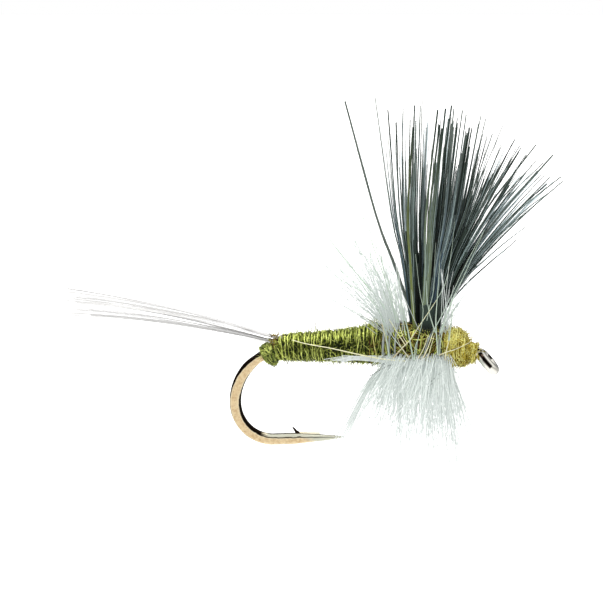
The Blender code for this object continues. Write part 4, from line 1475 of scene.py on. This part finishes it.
class DRYFLY_OT_wing(bpy.types.Operator):
    """Fans the upright wing: dark, blue dun and sage fibres with a fine pale web beside them"""

    bl_idname = "dry_fly.wing"
    bl_label = "Wing"

    def execute(self, context):
        wing = sizes().wing
        chance = random.Random(7)
        kinds = {name: Guides() for name in ("black", "slate", "grey", "blue", "sage", "khaki", "pale")}
        web = Guides()

        def add(line, kind, size, tone, thin=1.0):
            last = len(line) - 1
            thickness = [
                size * (wing.thickness + (wing.tip * thin - wing.thickness) * (step / last) ** 1.3) / 2
                for step in range(last + 1)
            ]
            kinds[kind].add(line, thickness, tone)

        for at_six, ahead, height, across, size, kind in LEADING:
            line = wing_line(at_six, ahead, height, across)
            add(line, kind, size, chance.random())
            self.add_web(web, chance, line, wing.barbules)
            if at_six in DARK_TIPPED:
                kinds["black"].add(line[-3:], [wing.tip * 0.56, wing.tip * 0.60, wing.tip * 0.52], 0.0)
        for places in LOW_FIBRES:
            line = line_through(places, -0.25, 16)
            add(line, "slate", 0.75, chance.random())
            self.add_web(web, chance, line, wing.barbules)
        for number in range(wing.fillers):
            group = number % 10
            if group < 4:
                at_six, mix = chance.gauss(-1.45, 0.42), ("black", "black", "slate", "blue", "black")
            elif group < 6:
                at_six, mix = chance.gauss(-0.35, 0.45), ("slate", "black", "slate", "black")
            elif group < 8:
                at_six, mix = chance.gauss(-3.05, 0.38), ("slate", "blue", "slate", "black")
            elif group == 8:
                at_six, mix = chance.uniform(-3.6, 1.3), ("slate", "black", "grey")
            else:
                at_six, mix = chance.uniform(-3.8, 1.4), ("pale",)
            reach = chance.uniform(0.40, 0.95)
            ahead, height = wing_tip(at_six)
            ahead = at_six + (ahead - at_six) * reach
            height = 6 + (height - 6) * reach
            across = chance.uniform(-0.75, 0.95) if group < 9 else chance.uniform(0.1, 0.95)
            line = wing_line(at_six, ahead, height, across)
            add(line, chance.choice(mix), chance.uniform(0.65, 1.05), chance.random(), 0.55)
            if group != 9:
                self.add_web(web, chance, line, wing.barbules // 2)
        for _ in range(wing.underfibres):
            at_six = chance.uniform(-3.5, 0.1)
            ahead, height = wing_tip(at_six)
            line = wing_line(at_six, ahead, height, chance.uniform(-0.8, 0.8))
            count = chance.randint(6, 12)
            add(line[:count], chance.choice(("black", "black", "black", "slate")), 1.15, chance.random())
        for at_six in (-3.44, -3.40, -2.74, -2.70, -2.66, -2.62, 0.12, 0.3, 0.42):
            ahead, height = wing_tip(at_six)
            line = wing_line(at_six, ahead, height - 0.3, chance.uniform(-0.3, 0.6))
            add(line, "pale", 1.2, chance.random(), 0.35)
        parts = []
        for name, root, body, tip in (
            ("black", wing.black, wing.black, wing.slate),
            ("slate", wing.black, wing.slate, wing.grey),
            ("grey", wing.slate, wing.grey, wing.grey),
            ("blue", wing.black, wing.blue, wing.grey),
            ("sage", wing.sage, wing.sage, wing.slate),
            ("khaki", wing.khaki, wing.khaki, wing.slate),
            ("pale", wing.sage, wing.bloom, wing.bloom),
        ):
            material = feather_material(
                f"wing_{name}", root, body, tip, root_ends=0.45, tip_starts=0.55, mottling=0.30, roughness=0.50,
            )
            parts.append(fibres_from(kinds[name], f"wing_{name}", material, sides=6, flatness=0.8))
        material = feather_material(
            "wing_web", wing.blue, wing.web, wing.web, root_ends=0.25, tip_starts=0.9, mottling=0.45,
            roughness=0.6,
        )
        parts.append(fibres_from(web, "wing_web", material, sides=3))
        piece = join("wing", *parts)
        finish_piece(piece, "slate_fibre", *[f"wing_fibre_{number:02d}" for number in range(1, 26)])
        return {"FINISHED"}

    def add_web(self, web, chance, points, count):
        """Fine pale hairs that lie along a fibre, mostly on its near side."""
        for _ in range(count):
            first = chance.randint(3, len(points) - 6)
            part = points[first : first + chance.randint(4, 8)]
            aside = Vector((chance.gauss(0, 1), -abs(chance.gauss(0, 1)), 0)).normalized()
            aside *= chance.uniform(0.05, 0.11) * MM
            size = chance.uniform(0.006, 0.010) * MM
            line = [point + aside * (0.7 + 0.6 * step / len(part)) for step, point in enumerate(part)]
            web.add(line, [size] * (len(part) - 1) + [size / 2], chance.random(), 0.3, 0.9)


def quill_path():
    """The stem's line round the thorax, as (point, half thickness)."""
    start, end, radius_at, lift_at = thorax_shape()
    hackle = sizes().hackle
    turns_back, turns_front = 2.5, 1.5
    back_start, back_end = end - 0.09 * MM, end - 0.71 * MM
    front_end, front_start = start + 0.09 * MM, start + 0.24 * MM
    total = turns_back + 1 + turns_front
    line = []
    count = 180
    for step in range(count + 1):
        turn = total * step / count
        if turn <= turns_back:
            along = back_start + (back_end - back_start) * turn / turns_back
        elif turn <= turns_back + 1:
            along = back_end + (front_start - back_end) * (turn - turns_back)
        else:
            along = front_start + (front_end - front_start) * (turn - turns_back - 1) / turns_front
        around = math.pi + turn * FULL_TURN
        half = hackle.quill / 2 * (1 - 0.5 * step / count)
        point = around_wire(along, around, radius_at(along) + half, lift_at(along))
        line.append((point, half))
    return line


# How far ahead of the eye the back and the front of the thorax are, in millimetres
THORAX_REACH = (-4.25, -1.50)


def thorax_spot(ahead, around, up, aside):
    """A place round the thorax, whose middle is 0.69 mm above the eye."""
    return spot(ahead, 0.69 + up * math.cos(around), aside * math.sin(around))


def upward(lean, side):
    """A direction that leans ahead by an angle, and to one side."""
    return Vector((math.sin(lean), side, math.cos(lean))).normalized()


def barb_points(root, out, tip_out, reach):
    """A barb's line: it leaves its root one way and bends to another at its tip."""
    steps = 9
    points = [root]
    for step in range(steps):
        direction = out.lerp(tip_out, (step + 0.5) / steps).normalized()
        points.append(points[-1] + direction * reach / steps)
    return points


# Barbs behind the wing, each as (ahead, height) places, then where it lies across and its thickness
BACK_BARBS = (
    (((-3.7, 0.9), (-4.4, 2.0), (-5.2, 2.85), (-6.0, 3.3), (-7.0, 4.0), (-7.8, 4.5)), -0.6, 0.9),
    (((-3.7, 0.9), (-4.3, 2.0), (-5.0, 2.85), (-5.8, 3.45), (-6.4, 3.95), (-6.9, 4.3)), -0.3, 1.0),
    (((-3.6, 0.9), (-4.3, 2.3), (-5.2, 3.35), (-6, 4.35), (-6.6, 5.1), (-7.3, 5.95), (-7.7, 6.4)), -0.7, 2.2),
    (((-3.6, 1.0), (-4.4, 3.1), (-5.0, 3.95), (-5.5, 5.0), (-5.85, 5.9)), 0.3, 1.1),
    (((-3.6, 1.0), (-4.2, 2.9), (-4.75, 3.9), (-5.3, 4.45), (-5.9, 5.3)), 0.7, 0.9),
    (((-3.5, 1.0), (-4.1, 3.0), (-4.6, 4.4), (-4.9, 5.3), (-5.15, 5.9)), -0.5, 1.8),
    (((-3.5, 1.0), (-4.0, 3.0), (-4.7, 4.95), (-5.3, 6.2), (-5.85, 7.0)), 0.1, 1.2),
    (((-4.4, 3.3), (-4.8, 4.1), (-4.78, 4.6), (-4.74, 5.0)), -0.5, 0.8),
    (((-3.6, 1.1), (-4.0, 2.6), (-4.3, 3.8), (-4.45, 5.0)), -0.7, 1.6),
    (((-3.7, 1.0), (-4.6, 2.3), (-5.6, 3.0), (-6.6, 3.35)), 0.6, 0.8),
)
# Barbs on the near side, up past the foot of the wing
WING_BARBS = (
    (((-3.05, 0.1), (-3.15, 0.6), (-3.28, 1.3), (-3.45, 2.0), (-3.62, 3.0), (-3.75, 4.2), (-3.9, 5.1)), 3.4),
    (((-4.05, 0.2), (-4.12, 0.7), (-4.22, 1.3), (-4.4, 2.0)), 3.6),
    (((-3.25, 0.2), (-3.6, 0.65), (-3.95, 1.1), (-4.3, 1.7), (-4.65, 2.5)), 2.4),
    (((-3.38, 1.1), (-3.5, 1.8), (-3.8, 2.9), (-3.98, 3.8)), 2.2),
    (((-3.02, 1.7), (-3.07, 2.4), (-3.14, 3.2), (-3.19, 5.0), (-3.21, 6.6)), 1.3),
    (((-2.95, 0.3), (-2.88, 0.9), (-2.72, 1.5), (-2.66, 2.2), (-2.8, 2.9), (-2.97, 4.4)), 1.2),
    (((-2.15, 1.2), (-2.28, 1.6), (-2.42, 2.1), (-2.52, 2.9), (-2.55, 4.5), (-2.52, 5.8)), 2.6),
    (((-2.5, 1.7), (-2.38, 2.3), (-2.22, 3.0), (-2.18, 4.2), (-2.1, 5.4)), 1.5),
    (((-2.05, 0.3), (-2.1, 1.0), (-2.14, 1.7), (-2.08, 2.6), (-2.0, 3.7), (-1.95, 4.8)), 2.8),
    (((-2.9, 1.35), (-2.6, 1.8), (-2.1, 2.55), (-1.72, 3.3), (-1.5, 4.5), (-1.35, 5.9)), 1.9),
    (((-2.35, 0.9), (-2.22, 1.3), (-1.85, 2.0), (-1.5, 2.75), (-1.05, 3.7), (-0.6, 4.6), (-0.15, 5.4)), 1.7),
    (((-1.95, 1.2), (-1.75, 1.8), (-1.5, 2.5), (-1.05, 3.4), (-0.55, 4.5), (-0.2, 5.3)), 2.4),
    (((-1.6, 0.9), (-1.5, 1.7), (-1.38, 2.6)), 3.4),
    (((-1.98, 0.3), (-1.92, 1.0), (-1.7, 1.9), (-1.35, 2.8)), 1.6),
    (((-3.0, 0.1), (-2.98, 0.6), (-2.85, 1.0)), 1.6),
)
# Strands stained by the dye, across the thorax and the head
STAINED = (
    (((-3.9, 0.15), (-3.5, 0.6), (-3.2, 0.9), (-2.9, 1.35), (-2.6, 1.8), (-2.1, 2.55)), -0.96, 1.2),
    (((-3.35, 0.65), (-3.55, 0.95), (-3.75, 1.25), (-4.05, 1.75)), -0.92, 1.1),
    (((-2.7, 0.08), (-2.5, 0.5), (-2.35, 0.9), (-2.22, 1.3)), -0.94, 1.3),
    (((-2.85, 0.15), (-2.6, 0.65), (-2.45, 1.1)), -0.94, 0.9),
    (((-2.5, 0.1), (-2.35, 0.6), (-2.2, 1.1)), -0.95, 0.9),
    (((-2.0, 0.3), (-1.7, 0.42), (-1.3, 0.56), (-0.75, 0.82)), -0.9, 1.3),
    (((-1.75, 0.1), (-1.7, 0.5), (-1.55, 1.0)), -0.9, 1.5),
    (((-4.35, 1.6), (-4.22, 1.05), (-4.1, 0.55)), -0.94, 1.0),
    (((-3.25, 0.2), (-3.55, 0.6), (-3.72, 1.0)), -0.97, 0.8),
    (((-3.3, 0.75), (-3.48, 1.05), (-3.62, 1.45)), -0.96, 0.8),
)
# Down and back from under the thorax, then back along the belly
TRAILING = ((-4.1, -0.1), (-4.7, -0.75), (-5.2, -1.6), (-5.7, -2.6), (-6.0, -3.15))
BELLY = ((-2.4, -0.20), (-3.4, -0.04), (-4.4, 0.10), (-5.4, 0.16), (-6.2, 0.04))
# The long barb that lies back across the abdomen, and single barbs that stand out of the skirt
LONG_BARB = ((-3.4, 0.05), (-4.2, 0.10), (-5.1, 0.25), (-6.0, 0.44), (-6.6, 0.56), (-7.5, 0.71), (-8.05, 0.86))
LONE_BARBS = (
    (((-3.75, -0.1), (-3.7, -0.8), (-3.62, -2.5), (-3.55, -3.9)), 1.0),
    (((-3.4, -0.1), (-3.3, -0.8), (-3.28, -2.4), (-3.48, -4.0)), 0.9),
    (((-2.6, -0.1), (-2.45, -1.2), (-2.2, -2.5), (-2.05, -3.5), (-1.65, -3.85)), 1.1),
    (((-1.6, -0.1), (-1.45, -1.5), (-1.3, -3.5), (-1.3, -5.0)), 1.0),
    (((-2.1, -0.1), (-2.0, -1.5), (-1.7, -3.2), (-1.5, -4.6)), 0.9),
)
# Dark fibres of the wing's foot that show between the barbs: ahead, give or take, from and to height, how many
DARK_FOOT = ((-2.50, 0.15, 1.10, 2.40, 40), (-3.93, 0.06, 0.20, 1.00, 6), (-2.02, 0.06, 0.05, 0.50, 5))
# Single dark barbs under the thorax
DARK_BARBS = (
    ((-1.8, -0.3), (-2.2, -0.68), (-2.58, -1.0)),
    ((-1.72, -0.42), (-2.1, -0.75), (-2.48, -1.02)),
    ((-4.0, -0.14), (-4.4, -0.34), (-4.85, -0.6)),
)


class DRYFLY_OT_hackle(bpy.types.Operator):
    """Winds the hackle feather: its stem round the thorax and pale barbs standing out all round"""

    bl_idname = "dry_fly.hackle"
    bl_label = "Hackle"

    def execute(self, context):
        hackle = sizes().hackle
        chance = random.Random(14)
        line = quill_path()
        stem, barbs, near, stained, dark = (Guides() for _ in range(5))
        stem.add([point for point, _ in line], [half for _, half in line], 0.5)
        self.add_back(barbs, near, chance)
        self.add_front(barbs, chance)
        self.add_lower(barbs, chance)
        self.add_sides(barbs, chance)
        self.add_near(barbs, near, stained, dark, chance)
        wing = sizes().wing
        shade, pale, sage, cream = hackle.shade, hackle.pale, hackle.sage, hackle.cream
        parts = []
        # Given to each material: three colours, where the root ends and the tip starts, mottling, roughness,
        # sheen and glow
        for guides, name, given, sides, flatness in (
            (stem, "hackle_quill", (shade, shade, pale, 0.1, 0.9, 0.2, 0.4, 0.1), 8, 1.0),
            # The pale barbs' darker roots are partly painted shade near the body
            (barbs, "pale_dun_barb", (shade, pale, hackle.tip, 0.35, 0.5, 0.12, 0.5, 0.0, 0.58), 4, 0.8),
            (near, "near_barb", (sage, sage, sage, 0.2, 0.9, 0.2, 0.5, 0.0, 0.15), 5, 0.7),
            (stained, "stained_barb", (hackle.tan, cream, cream, 0.3, 0.9, 0.2, 0.5, 0.1, 0.06), 5, 1.0),
            (dark, "dark_barb", (wing.black, wing.slate, wing.black, 0.3, 0.9, 0.2, 0.5, 0.1), 5, 1.0),
        ):
            parts.append(fibres_from(guides, name, feather_material(name, *given), sides, flatness))
        piece = join("hackle", *parts)
        finish_piece(piece, "pale_barb", "hackle_feather")
        return {"FINISHED"}

    def add_back(self, barbs, near, chance):
        """Barbs that fan up and back behind the wing."""
        hackle = sizes().hackle
        for places, across, size in BACK_BARBS:
            last = len(places) - 1
            line = line_through(places, lambda number, _: across * (0.45 + 1.15 * number / last), 14)
            near.add_tapered(line, hackle.barb * size, 0.026 * MM, 1.0)
        for _ in range(hackle.upper_barbs):
            lean = math.radians(chance.triangular(-6, 62, 14))
            place = chance.uniform(THORAX_REACH[0], -3.15)
            around = chance.uniform(-1.1, 1.1) if place < -3.6 else chance.uniform(0.5, 1.1)
            root = thorax_spot(place - 0.3 * lean, around, 0.75, 0.78)
            side = math.sin(around) * chance.uniform(0.2, 1.0)
            out = upward(-lean, side)
            bend = upward(-lean - 0.25, side * 1.2)
            long = chance.random() < 0.14
            reach = hackle.upper * chance.uniform(0.40, 0.92) * (1.0 if lean > 0.1 else 0.72)
            if long and lean > 0.3:
                reach = hackle.upper * chance.uniform(0.98, 1.14)
            line = barb_points(root, out, bend, reach)
            size = hackle.barb * chance.uniform(0.5, 0.9)
            barbs.add_tapered(line, size, (0.024 if long else 0.014) * MM, chance.random())

    def add_front(self, barbs, chance):
        """Short barbs that stand up between the wing and the head."""
        hackle = sizes().hackle
        for _ in range(hackle.front_barbs):
            lean = math.radians(chance.gauss(17, 9))
            around = chance.uniform(-1.0, 1.0)
            root = thorax_spot(chance.uniform(-2.0, -1.55), around, 0.75, 0.78)
            side = math.sin(around) * chance.uniform(0.2, 0.8)
            reach = chance.uniform(1.0, 3.0) * MM
            line = barb_points(root, upward(lean, side), upward(lean * 1.5, side), reach)
            barbs.add_tapered(line, hackle.barb * 0.7, 0.014 * MM, chance.random())

    def add_lower(self, barbs, chance):
        """Barbs that hang below the thorax, as a soft skirt."""
        hackle = sizes().hackle
        back, front = THORAX_REACH
        for _ in range(hackle.lower_barbs):
            ahead = chance.uniform(back, front)
            share = (ahead - back) / (front - back)
            around = math.pi + max(-1.1, min(1.1, chance.gauss(0, 0.62)))
            root = thorax_spot(ahead, around, 0.72, 0.72)
            lean = -0.38 + 0.62 * share + chance.gauss(0, 0.13)
            out = Vector((lean * 0.8, math.sin(around) * 0.9, math.cos(around))).normalized()
            bend = Vector((lean * 1.1, math.sin(around) * 1.1, math.cos(around))).normalized()
            long = 0.62 + 0.38 * share
            reach = hackle.lower * long * (1 - 0.78 * chance.random() ** 0.8)
            line = barb_points(root, out, bend, reach)
            size = hackle.barb * chance.uniform(0.45, 0.80)
            barbs.add_tapered(line, size, 0.015 * MM, chance.random())
        for _ in range(hackle.trailing_barbs):
            shift = chance.gauss(0, 0.13)
            across = chance.uniform(-0.5, 0.3)
            places = [(a + shift * (0.3 + number * 0.25), z) for number, (a, z) in enumerate(TRAILING)]
            places = places[: chance.choice((4, 5, 5))]
            line = line_through(places, lambda number, _: across * (1 + 0.4 * number), 12)
            barbs.add_tapered(line, hackle.barb * 1.1, 0.030 * MM, chance.random())
        for places, size in LONE_BARBS:
            line = line_through(places, lambda _, height: -0.3 + 0.25 * height, 12)
            barbs.add_tapered(line, hackle.barb * size * 1.25, 0.022 * MM, 0.1)

    def add_sides(self, barbs, chance):
        """Barbs that stand straight out to both sides."""
        hackle = sizes().hackle
        for _ in range(hackle.side_barbs):
            side = chance.choice((-1, 1, 1))
            around = side * (chance.uniform(0.9, 2.3) if side > 0 else chance.choice((0.85, 2.15, 2.3, 2.45)))
            root = thorax_spot(chance.uniform(-4.2, -1.55), around, 0.78, 0.78)
            out = Vector((chance.gauss(0.02, 0.12), math.sin(around), math.cos(around))).normalized()
            reach = chance.uniform(3.4, 5.2) * MM
            line = barb_points(root, out, out + Vector((-0.05, 0, 0)), reach)
            barbs.add_tapered(line, hackle.barb * 0.7, 0.022 * MM, chance.random())

    def add_near(self, barbs, near, stained, dark, chance):
        """Barbs on the near side that lie against the fly: up past the wing and back along the belly."""
        hackle = sizes().hackle
        for places, size in WING_BARBS:
            line = line_through(places, lambda number, z: -0.90 + 0.05 * max(0, z - 1.2) - 0.04 * number, 12)
            near.add_tapered(line, hackle.barb * size * 0.7, 0.022 * MM, chance.uniform(0.2, 1))
        for _ in range(hackle.belly_barbs):
            shift, drop = chance.gauss(0, 0.28), chance.gauss(0, 0.055)
            places = [(ahead + shift, height + drop) for ahead, height in BELLY]
            line = line_through(places[: chance.choice((4, 5))], -0.74, 10)
            barbs.add_tapered(line, hackle.barb * 1.3, 0.026 * MM, chance.uniform(0.2, 0.7))
        for places, across, size in STAINED:
            line = line_through(places, across, 10)
            stained.add_tapered(line, hackle.barb * size * 1.1, 0.022 * MM, chance.random())
        line = line_through(LONG_BARB, -0.80, 18)
        stained.add_tapered(line, 0.062 * MM, 0.030 * MM, 1.0, 0.4, 0.8)
        for middle, scatter, low, high, count in DARK_FOOT:
            for _ in range(count):
                ahead = chance.gauss(middle, scatter)
                foot = low + chance.uniform(0, 0.3) * (high - low)
                places = ((ahead, foot), (ahead + 0.02, (foot + high) / 2), (ahead, high))
                line = line_through(places, lambda number, _: (-0.80, -0.78, -0.70)[number], 6)
                dark.add_tapered(line, 0.02 * MM, 0.07 * MM, chance.random())
        for places in DARK_BARBS:
            line = line_through(places, -0.62, 6)
            dark.add_tapered(line, 0.045 * MM, 0.030 * MM, 0.2)


# Long hairs that have worked loose from the dubbing
STRAY_HAIRS = (
    (
        ((-6.66, 1.15), (-6.68, 1.42), (-6.5, 1.58), (-6.36, 1.85), (-6.42, 2.12), (-6.62, 2.18), (-6.97, 2.06)),
        0.0,
    ),
    (
        ((-6.92, 0), (-6.9, -0.3), (-6.98, -0.68), (-6.8, -1.08), (-6.93, -1.45), (-7.15, -1.56), (-7.85, -1.55)),
        0.0,
    ),
    (((-7.3, 1.1), (-7.2, 1.42), (-7.08, 1.52), (-7.1, 1.25)), -0.1),
    (((-7.02, 1.2), (-7.08, 1.4), (-7.12, 1.6)), 0.1),
    (((-5.05, 1.4), (-5.2, 1.75), (-5.36, 1.92)), -0.2),
    (((-4.6, 1.55), (-4.95, 1.72), (-5.3, 1.86)), -0.1),
    (((-8.6, 0.0), (-8.85, -0.35), (-9.2, -0.45)), 0.1),
    (((-8.3, 0.05), (-8.2, -0.3), (-8.32, -0.52)), -0.2),
)


class DRYFLY_OT_stray_hairs(bpy.types.Operator):
    """Adds the long curly hairs that have worked loose from the dubbing"""

    bl_idname = "dry_fly.stray_hairs"
    bl_label = "Stray hairs"

    def execute(self, context):
        body = sizes().body
        guides = Guides()
        for places, across in STRAY_HAIRS:
            line = line_through(places, across, 24)
            guides.add_tapered(line, 0.024 * MM, 0.015 * MM, 0.6)
        material = strand_material("stray_hair", body.thorax_brown, (0.30, 0.27, 0.25), (0.45, 0.42, 0.40))
        finish_piece(fibres_from(guides, "stray_hairs", material, sides=4), "olive_dubbing")
        return {"FINISHED"}


# The stage


def lamp(name, kind, direction, strength, tint, spread, shine=1.0):
    data = bpy.data.lights.new(name, kind)
    data.specular_factor = shine
    data.energy = strength
    data.color = tint
    data.angle = spread
    obj = bpy.data.objects.new(name, data)
    bpy.context.scene.collection.objects.link(obj)
    obj.rotation_euler = Vector(direction).to_track_quat("Z", "Y").to_euler()
    return obj


def background_share(tree):
    """The Light Path outputs, and 1 for a ray that should see white: from the camera or through a surface."""
    path = add_node(tree, "ShaderNodeLightPath").outputs
    return path, math_node(tree, "MAXIMUM", path["Is Camera Ray"], path["Is Transmission Ray"])


def build_world():
    """Soft light from above and from the table, with a dark room round the camera that metal reflects."""
    world = bpy.data.worlds.new("Studio")
    bpy.context.scene.world = world
    world.use_nodes = True
    tree = world.node_tree
    sky = tree.nodes["Background"]
    path, seen = background_share(tree)
    way = add_node(tree, "ShaderNodeTexCoord").outputs["Generated"]
    height = add_node(tree, "ShaderNodeSeparateXYZ", {0: way}).outputs["Z"]
    sky_light = ((0.0, 0.20), (0.50, 0.12), (0.60, 0.22), (0.75, 1.00), (1.0, 1.15))
    soft = ramp(tree, remap(tree, height, -1, 1), sky_light)
    facing = add_node(
        tree, "ShaderNodeVectorMath", {0: way, 1: view_direction()}, operation="DOT_PRODUCT"
    ).outputs["Value"]
    room = ((0.0, 0.30), (0.20, 0.55), (0.50, 1.0), (0.84, 0.95), (0.885, 0.015), (1.0, 0.01))
    metal = ramp(tree, remap(tree, facing, -1, 1), room)
    glossy = mix_colours(tree, path["Is Glossy Ray"], soft, metal)
    put(tree, sky.inputs["Color"], mix_colours(tree, seen, glossy, (1, 1, 1)))
    sky.inputs["Strength"].default_value = 1.0


def view_direction():
    """From the fly to the camera."""
    stage = sizes().stage
    return Vector(
        (
            math.sin(stage.azimuth) * math.cos(stage.elevation),
            -math.cos(stage.azimuth) * math.cos(stage.elevation),
            math.sin(stage.elevation),
        )
    )


def build_floor(drop):
    low, high = CAD_BOX
    z = low[2] - drop
    bm = bmesh.new()
    bmesh.ops.create_circle(bm, cap_ends=True, segments=96, radius=6.0)
    bmesh.ops.translate(bm, verts=bm.verts, vec=(0, 0, z))
    mesh = mesh_from(bm, "floor")
    paint = Paint("pale_floor")
    _, seen = background_share(paint.tree)
    paint.colour(paint.mix(seen, (0.30, 0.30, 0.30), (0.96, 0.96, 0.96)))
    # For rays that light the fly, the floor's emission is a painted pool of light under it; the camera sees the
    # floor evenly white
    away = paint.node("ShaderNodeVectorMath", {0: paint.place()}, operation="LENGTH").outputs["Value"]
    pool = paint.ramp(paint.steps(away, 0.0, 0.25), (0.0, 0.85), (0.16, 0.75), (0.40, 0.06), (1.0, 0.03))
    glow = paint.mix(seen, pool, (0.30, 0.30, 0.30))
    values = {"Emission Color": glow, "Emission Strength": 1.0, "Roughness": 1.0, "Specular IOR Level": 0.0}
    paint.set(**values)
    mesh_object("floor", mesh, paint.material)


def build_camera(stage):
    data = bpy.data.cameras.new("camera")
    data.sensor_width = 36
    data.lens = data.sensor_width * stage.distance / stage.view_width
    data.clip_start = 0.005
    data.clip_end = 50
    camera = bpy.data.objects.new("camera", data)
    bpy.context.scene.collection.objects.link(camera)
    bpy.context.scene.camera = camera
    target = Vector((-7.66, 0, 2.39)) * MM
    direction = view_direction()
    camera.location = target + direction * stage.distance
    camera.rotation_euler = direction.to_track_quat("Z", "Y").to_euler()


class DRYFLY_OT_stage(bpy.types.Operator):
    """Sets the pale floor, the soft light and the camera"""

    bl_idname = "dry_fly.stage"
    bl_label = "Stage"

    def execute(self, context):
        stage = sizes().stage
        build_floor(stage.drop)
        build_world()
        lamp(
            "top light", "SUN", (-0.15, -0.35, 1.0), strength=2.5, tint=(1.0, 0.99, 0.97),
            spread=math.radians(30),
        )
        lamp(
            "front fill", "SUN", (0.3, -1.0, 0.25), strength=0.25, tint=(0.97, 0.99, 1.0),
            spread=math.radians(50), shine=0.0,
        )
        build_camera(stage)
        context.scene.view_settings.view_transform = "Standard"
        return {"FINISHED"}


class DryFly(bpy.types.PropertyGroup):
    hook: PointerProperty(type=HookSizes)
    body: PointerProperty(type=BodySizes)
    head: PointerProperty(type=HeadSizes)
    tail: PointerProperty(type=TailSizes)
    wing: PointerProperty(type=WingSizes)
    hackle: PointerProperty(type=HackleSizes)
    stage: PointerProperty(type=StageSettings)


OPERATORS = (
    DRYFLY_OT_hook, DRYFLY_OT_thread, DRYFLY_OT_tail, DRYFLY_OT_abdomen, DRYFLY_OT_tail_prop, DRYFLY_OT_thorax,
    DRYFLY_OT_wing, DRYFLY_OT_hackle, DRYFLY_OT_head, DRYFLY_OT_stray_hairs, DRYFLY_OT_stage,
)


class DRYFLY_PT_panel(bpy.types.Panel):
    """Lists the steps in order, with the sizes and colours that each uses"""

    bl_idname = "DRYFLY_PT_panel"
    bl_label = "Dry Fly"
    bl_space_type = "VIEW_3D"
    bl_region_type = "UI"
    bl_category = "Dry Fly"

    def draw(self, context):
        for operator in OPERATORS:
            self.layout.operator(operator.bl_idname)
        for group in ("hook", "body", "head", "tail", "wing", "hackle", "stage"):
            values = getattr(sizes(), group)
            box = self.layout.box()
            box.label(text=group.capitalize())
            for name in values.__annotations__:
                box.prop(values, name)


GROUPS = (HookSizes, BodySizes, HeadSizes, TailSizes, WingSizes, HackleSizes, StageSettings, DryFly)


def register():
    for group in GROUPS + OPERATORS + (DRYFLY_PT_panel,):
        bpy.utils.register_class(group)
    bpy.types.Scene.dry_fly = PointerProperty(type=DryFly)


def unregister():
    del bpy.types.Scene.dry_fly
    for group in (DRYFLY_PT_panel,) + OPERATORS[::-1] + GROUPS[::-1]:
        bpy.utils.unregister_class(group)


def main():
    register()
    for operator in OPERATORS:
        group, name = operator.bl_idname.split(".")
        getattr(getattr(bpy.ops, group), name)()


if __name__ == "__main__":
    main()
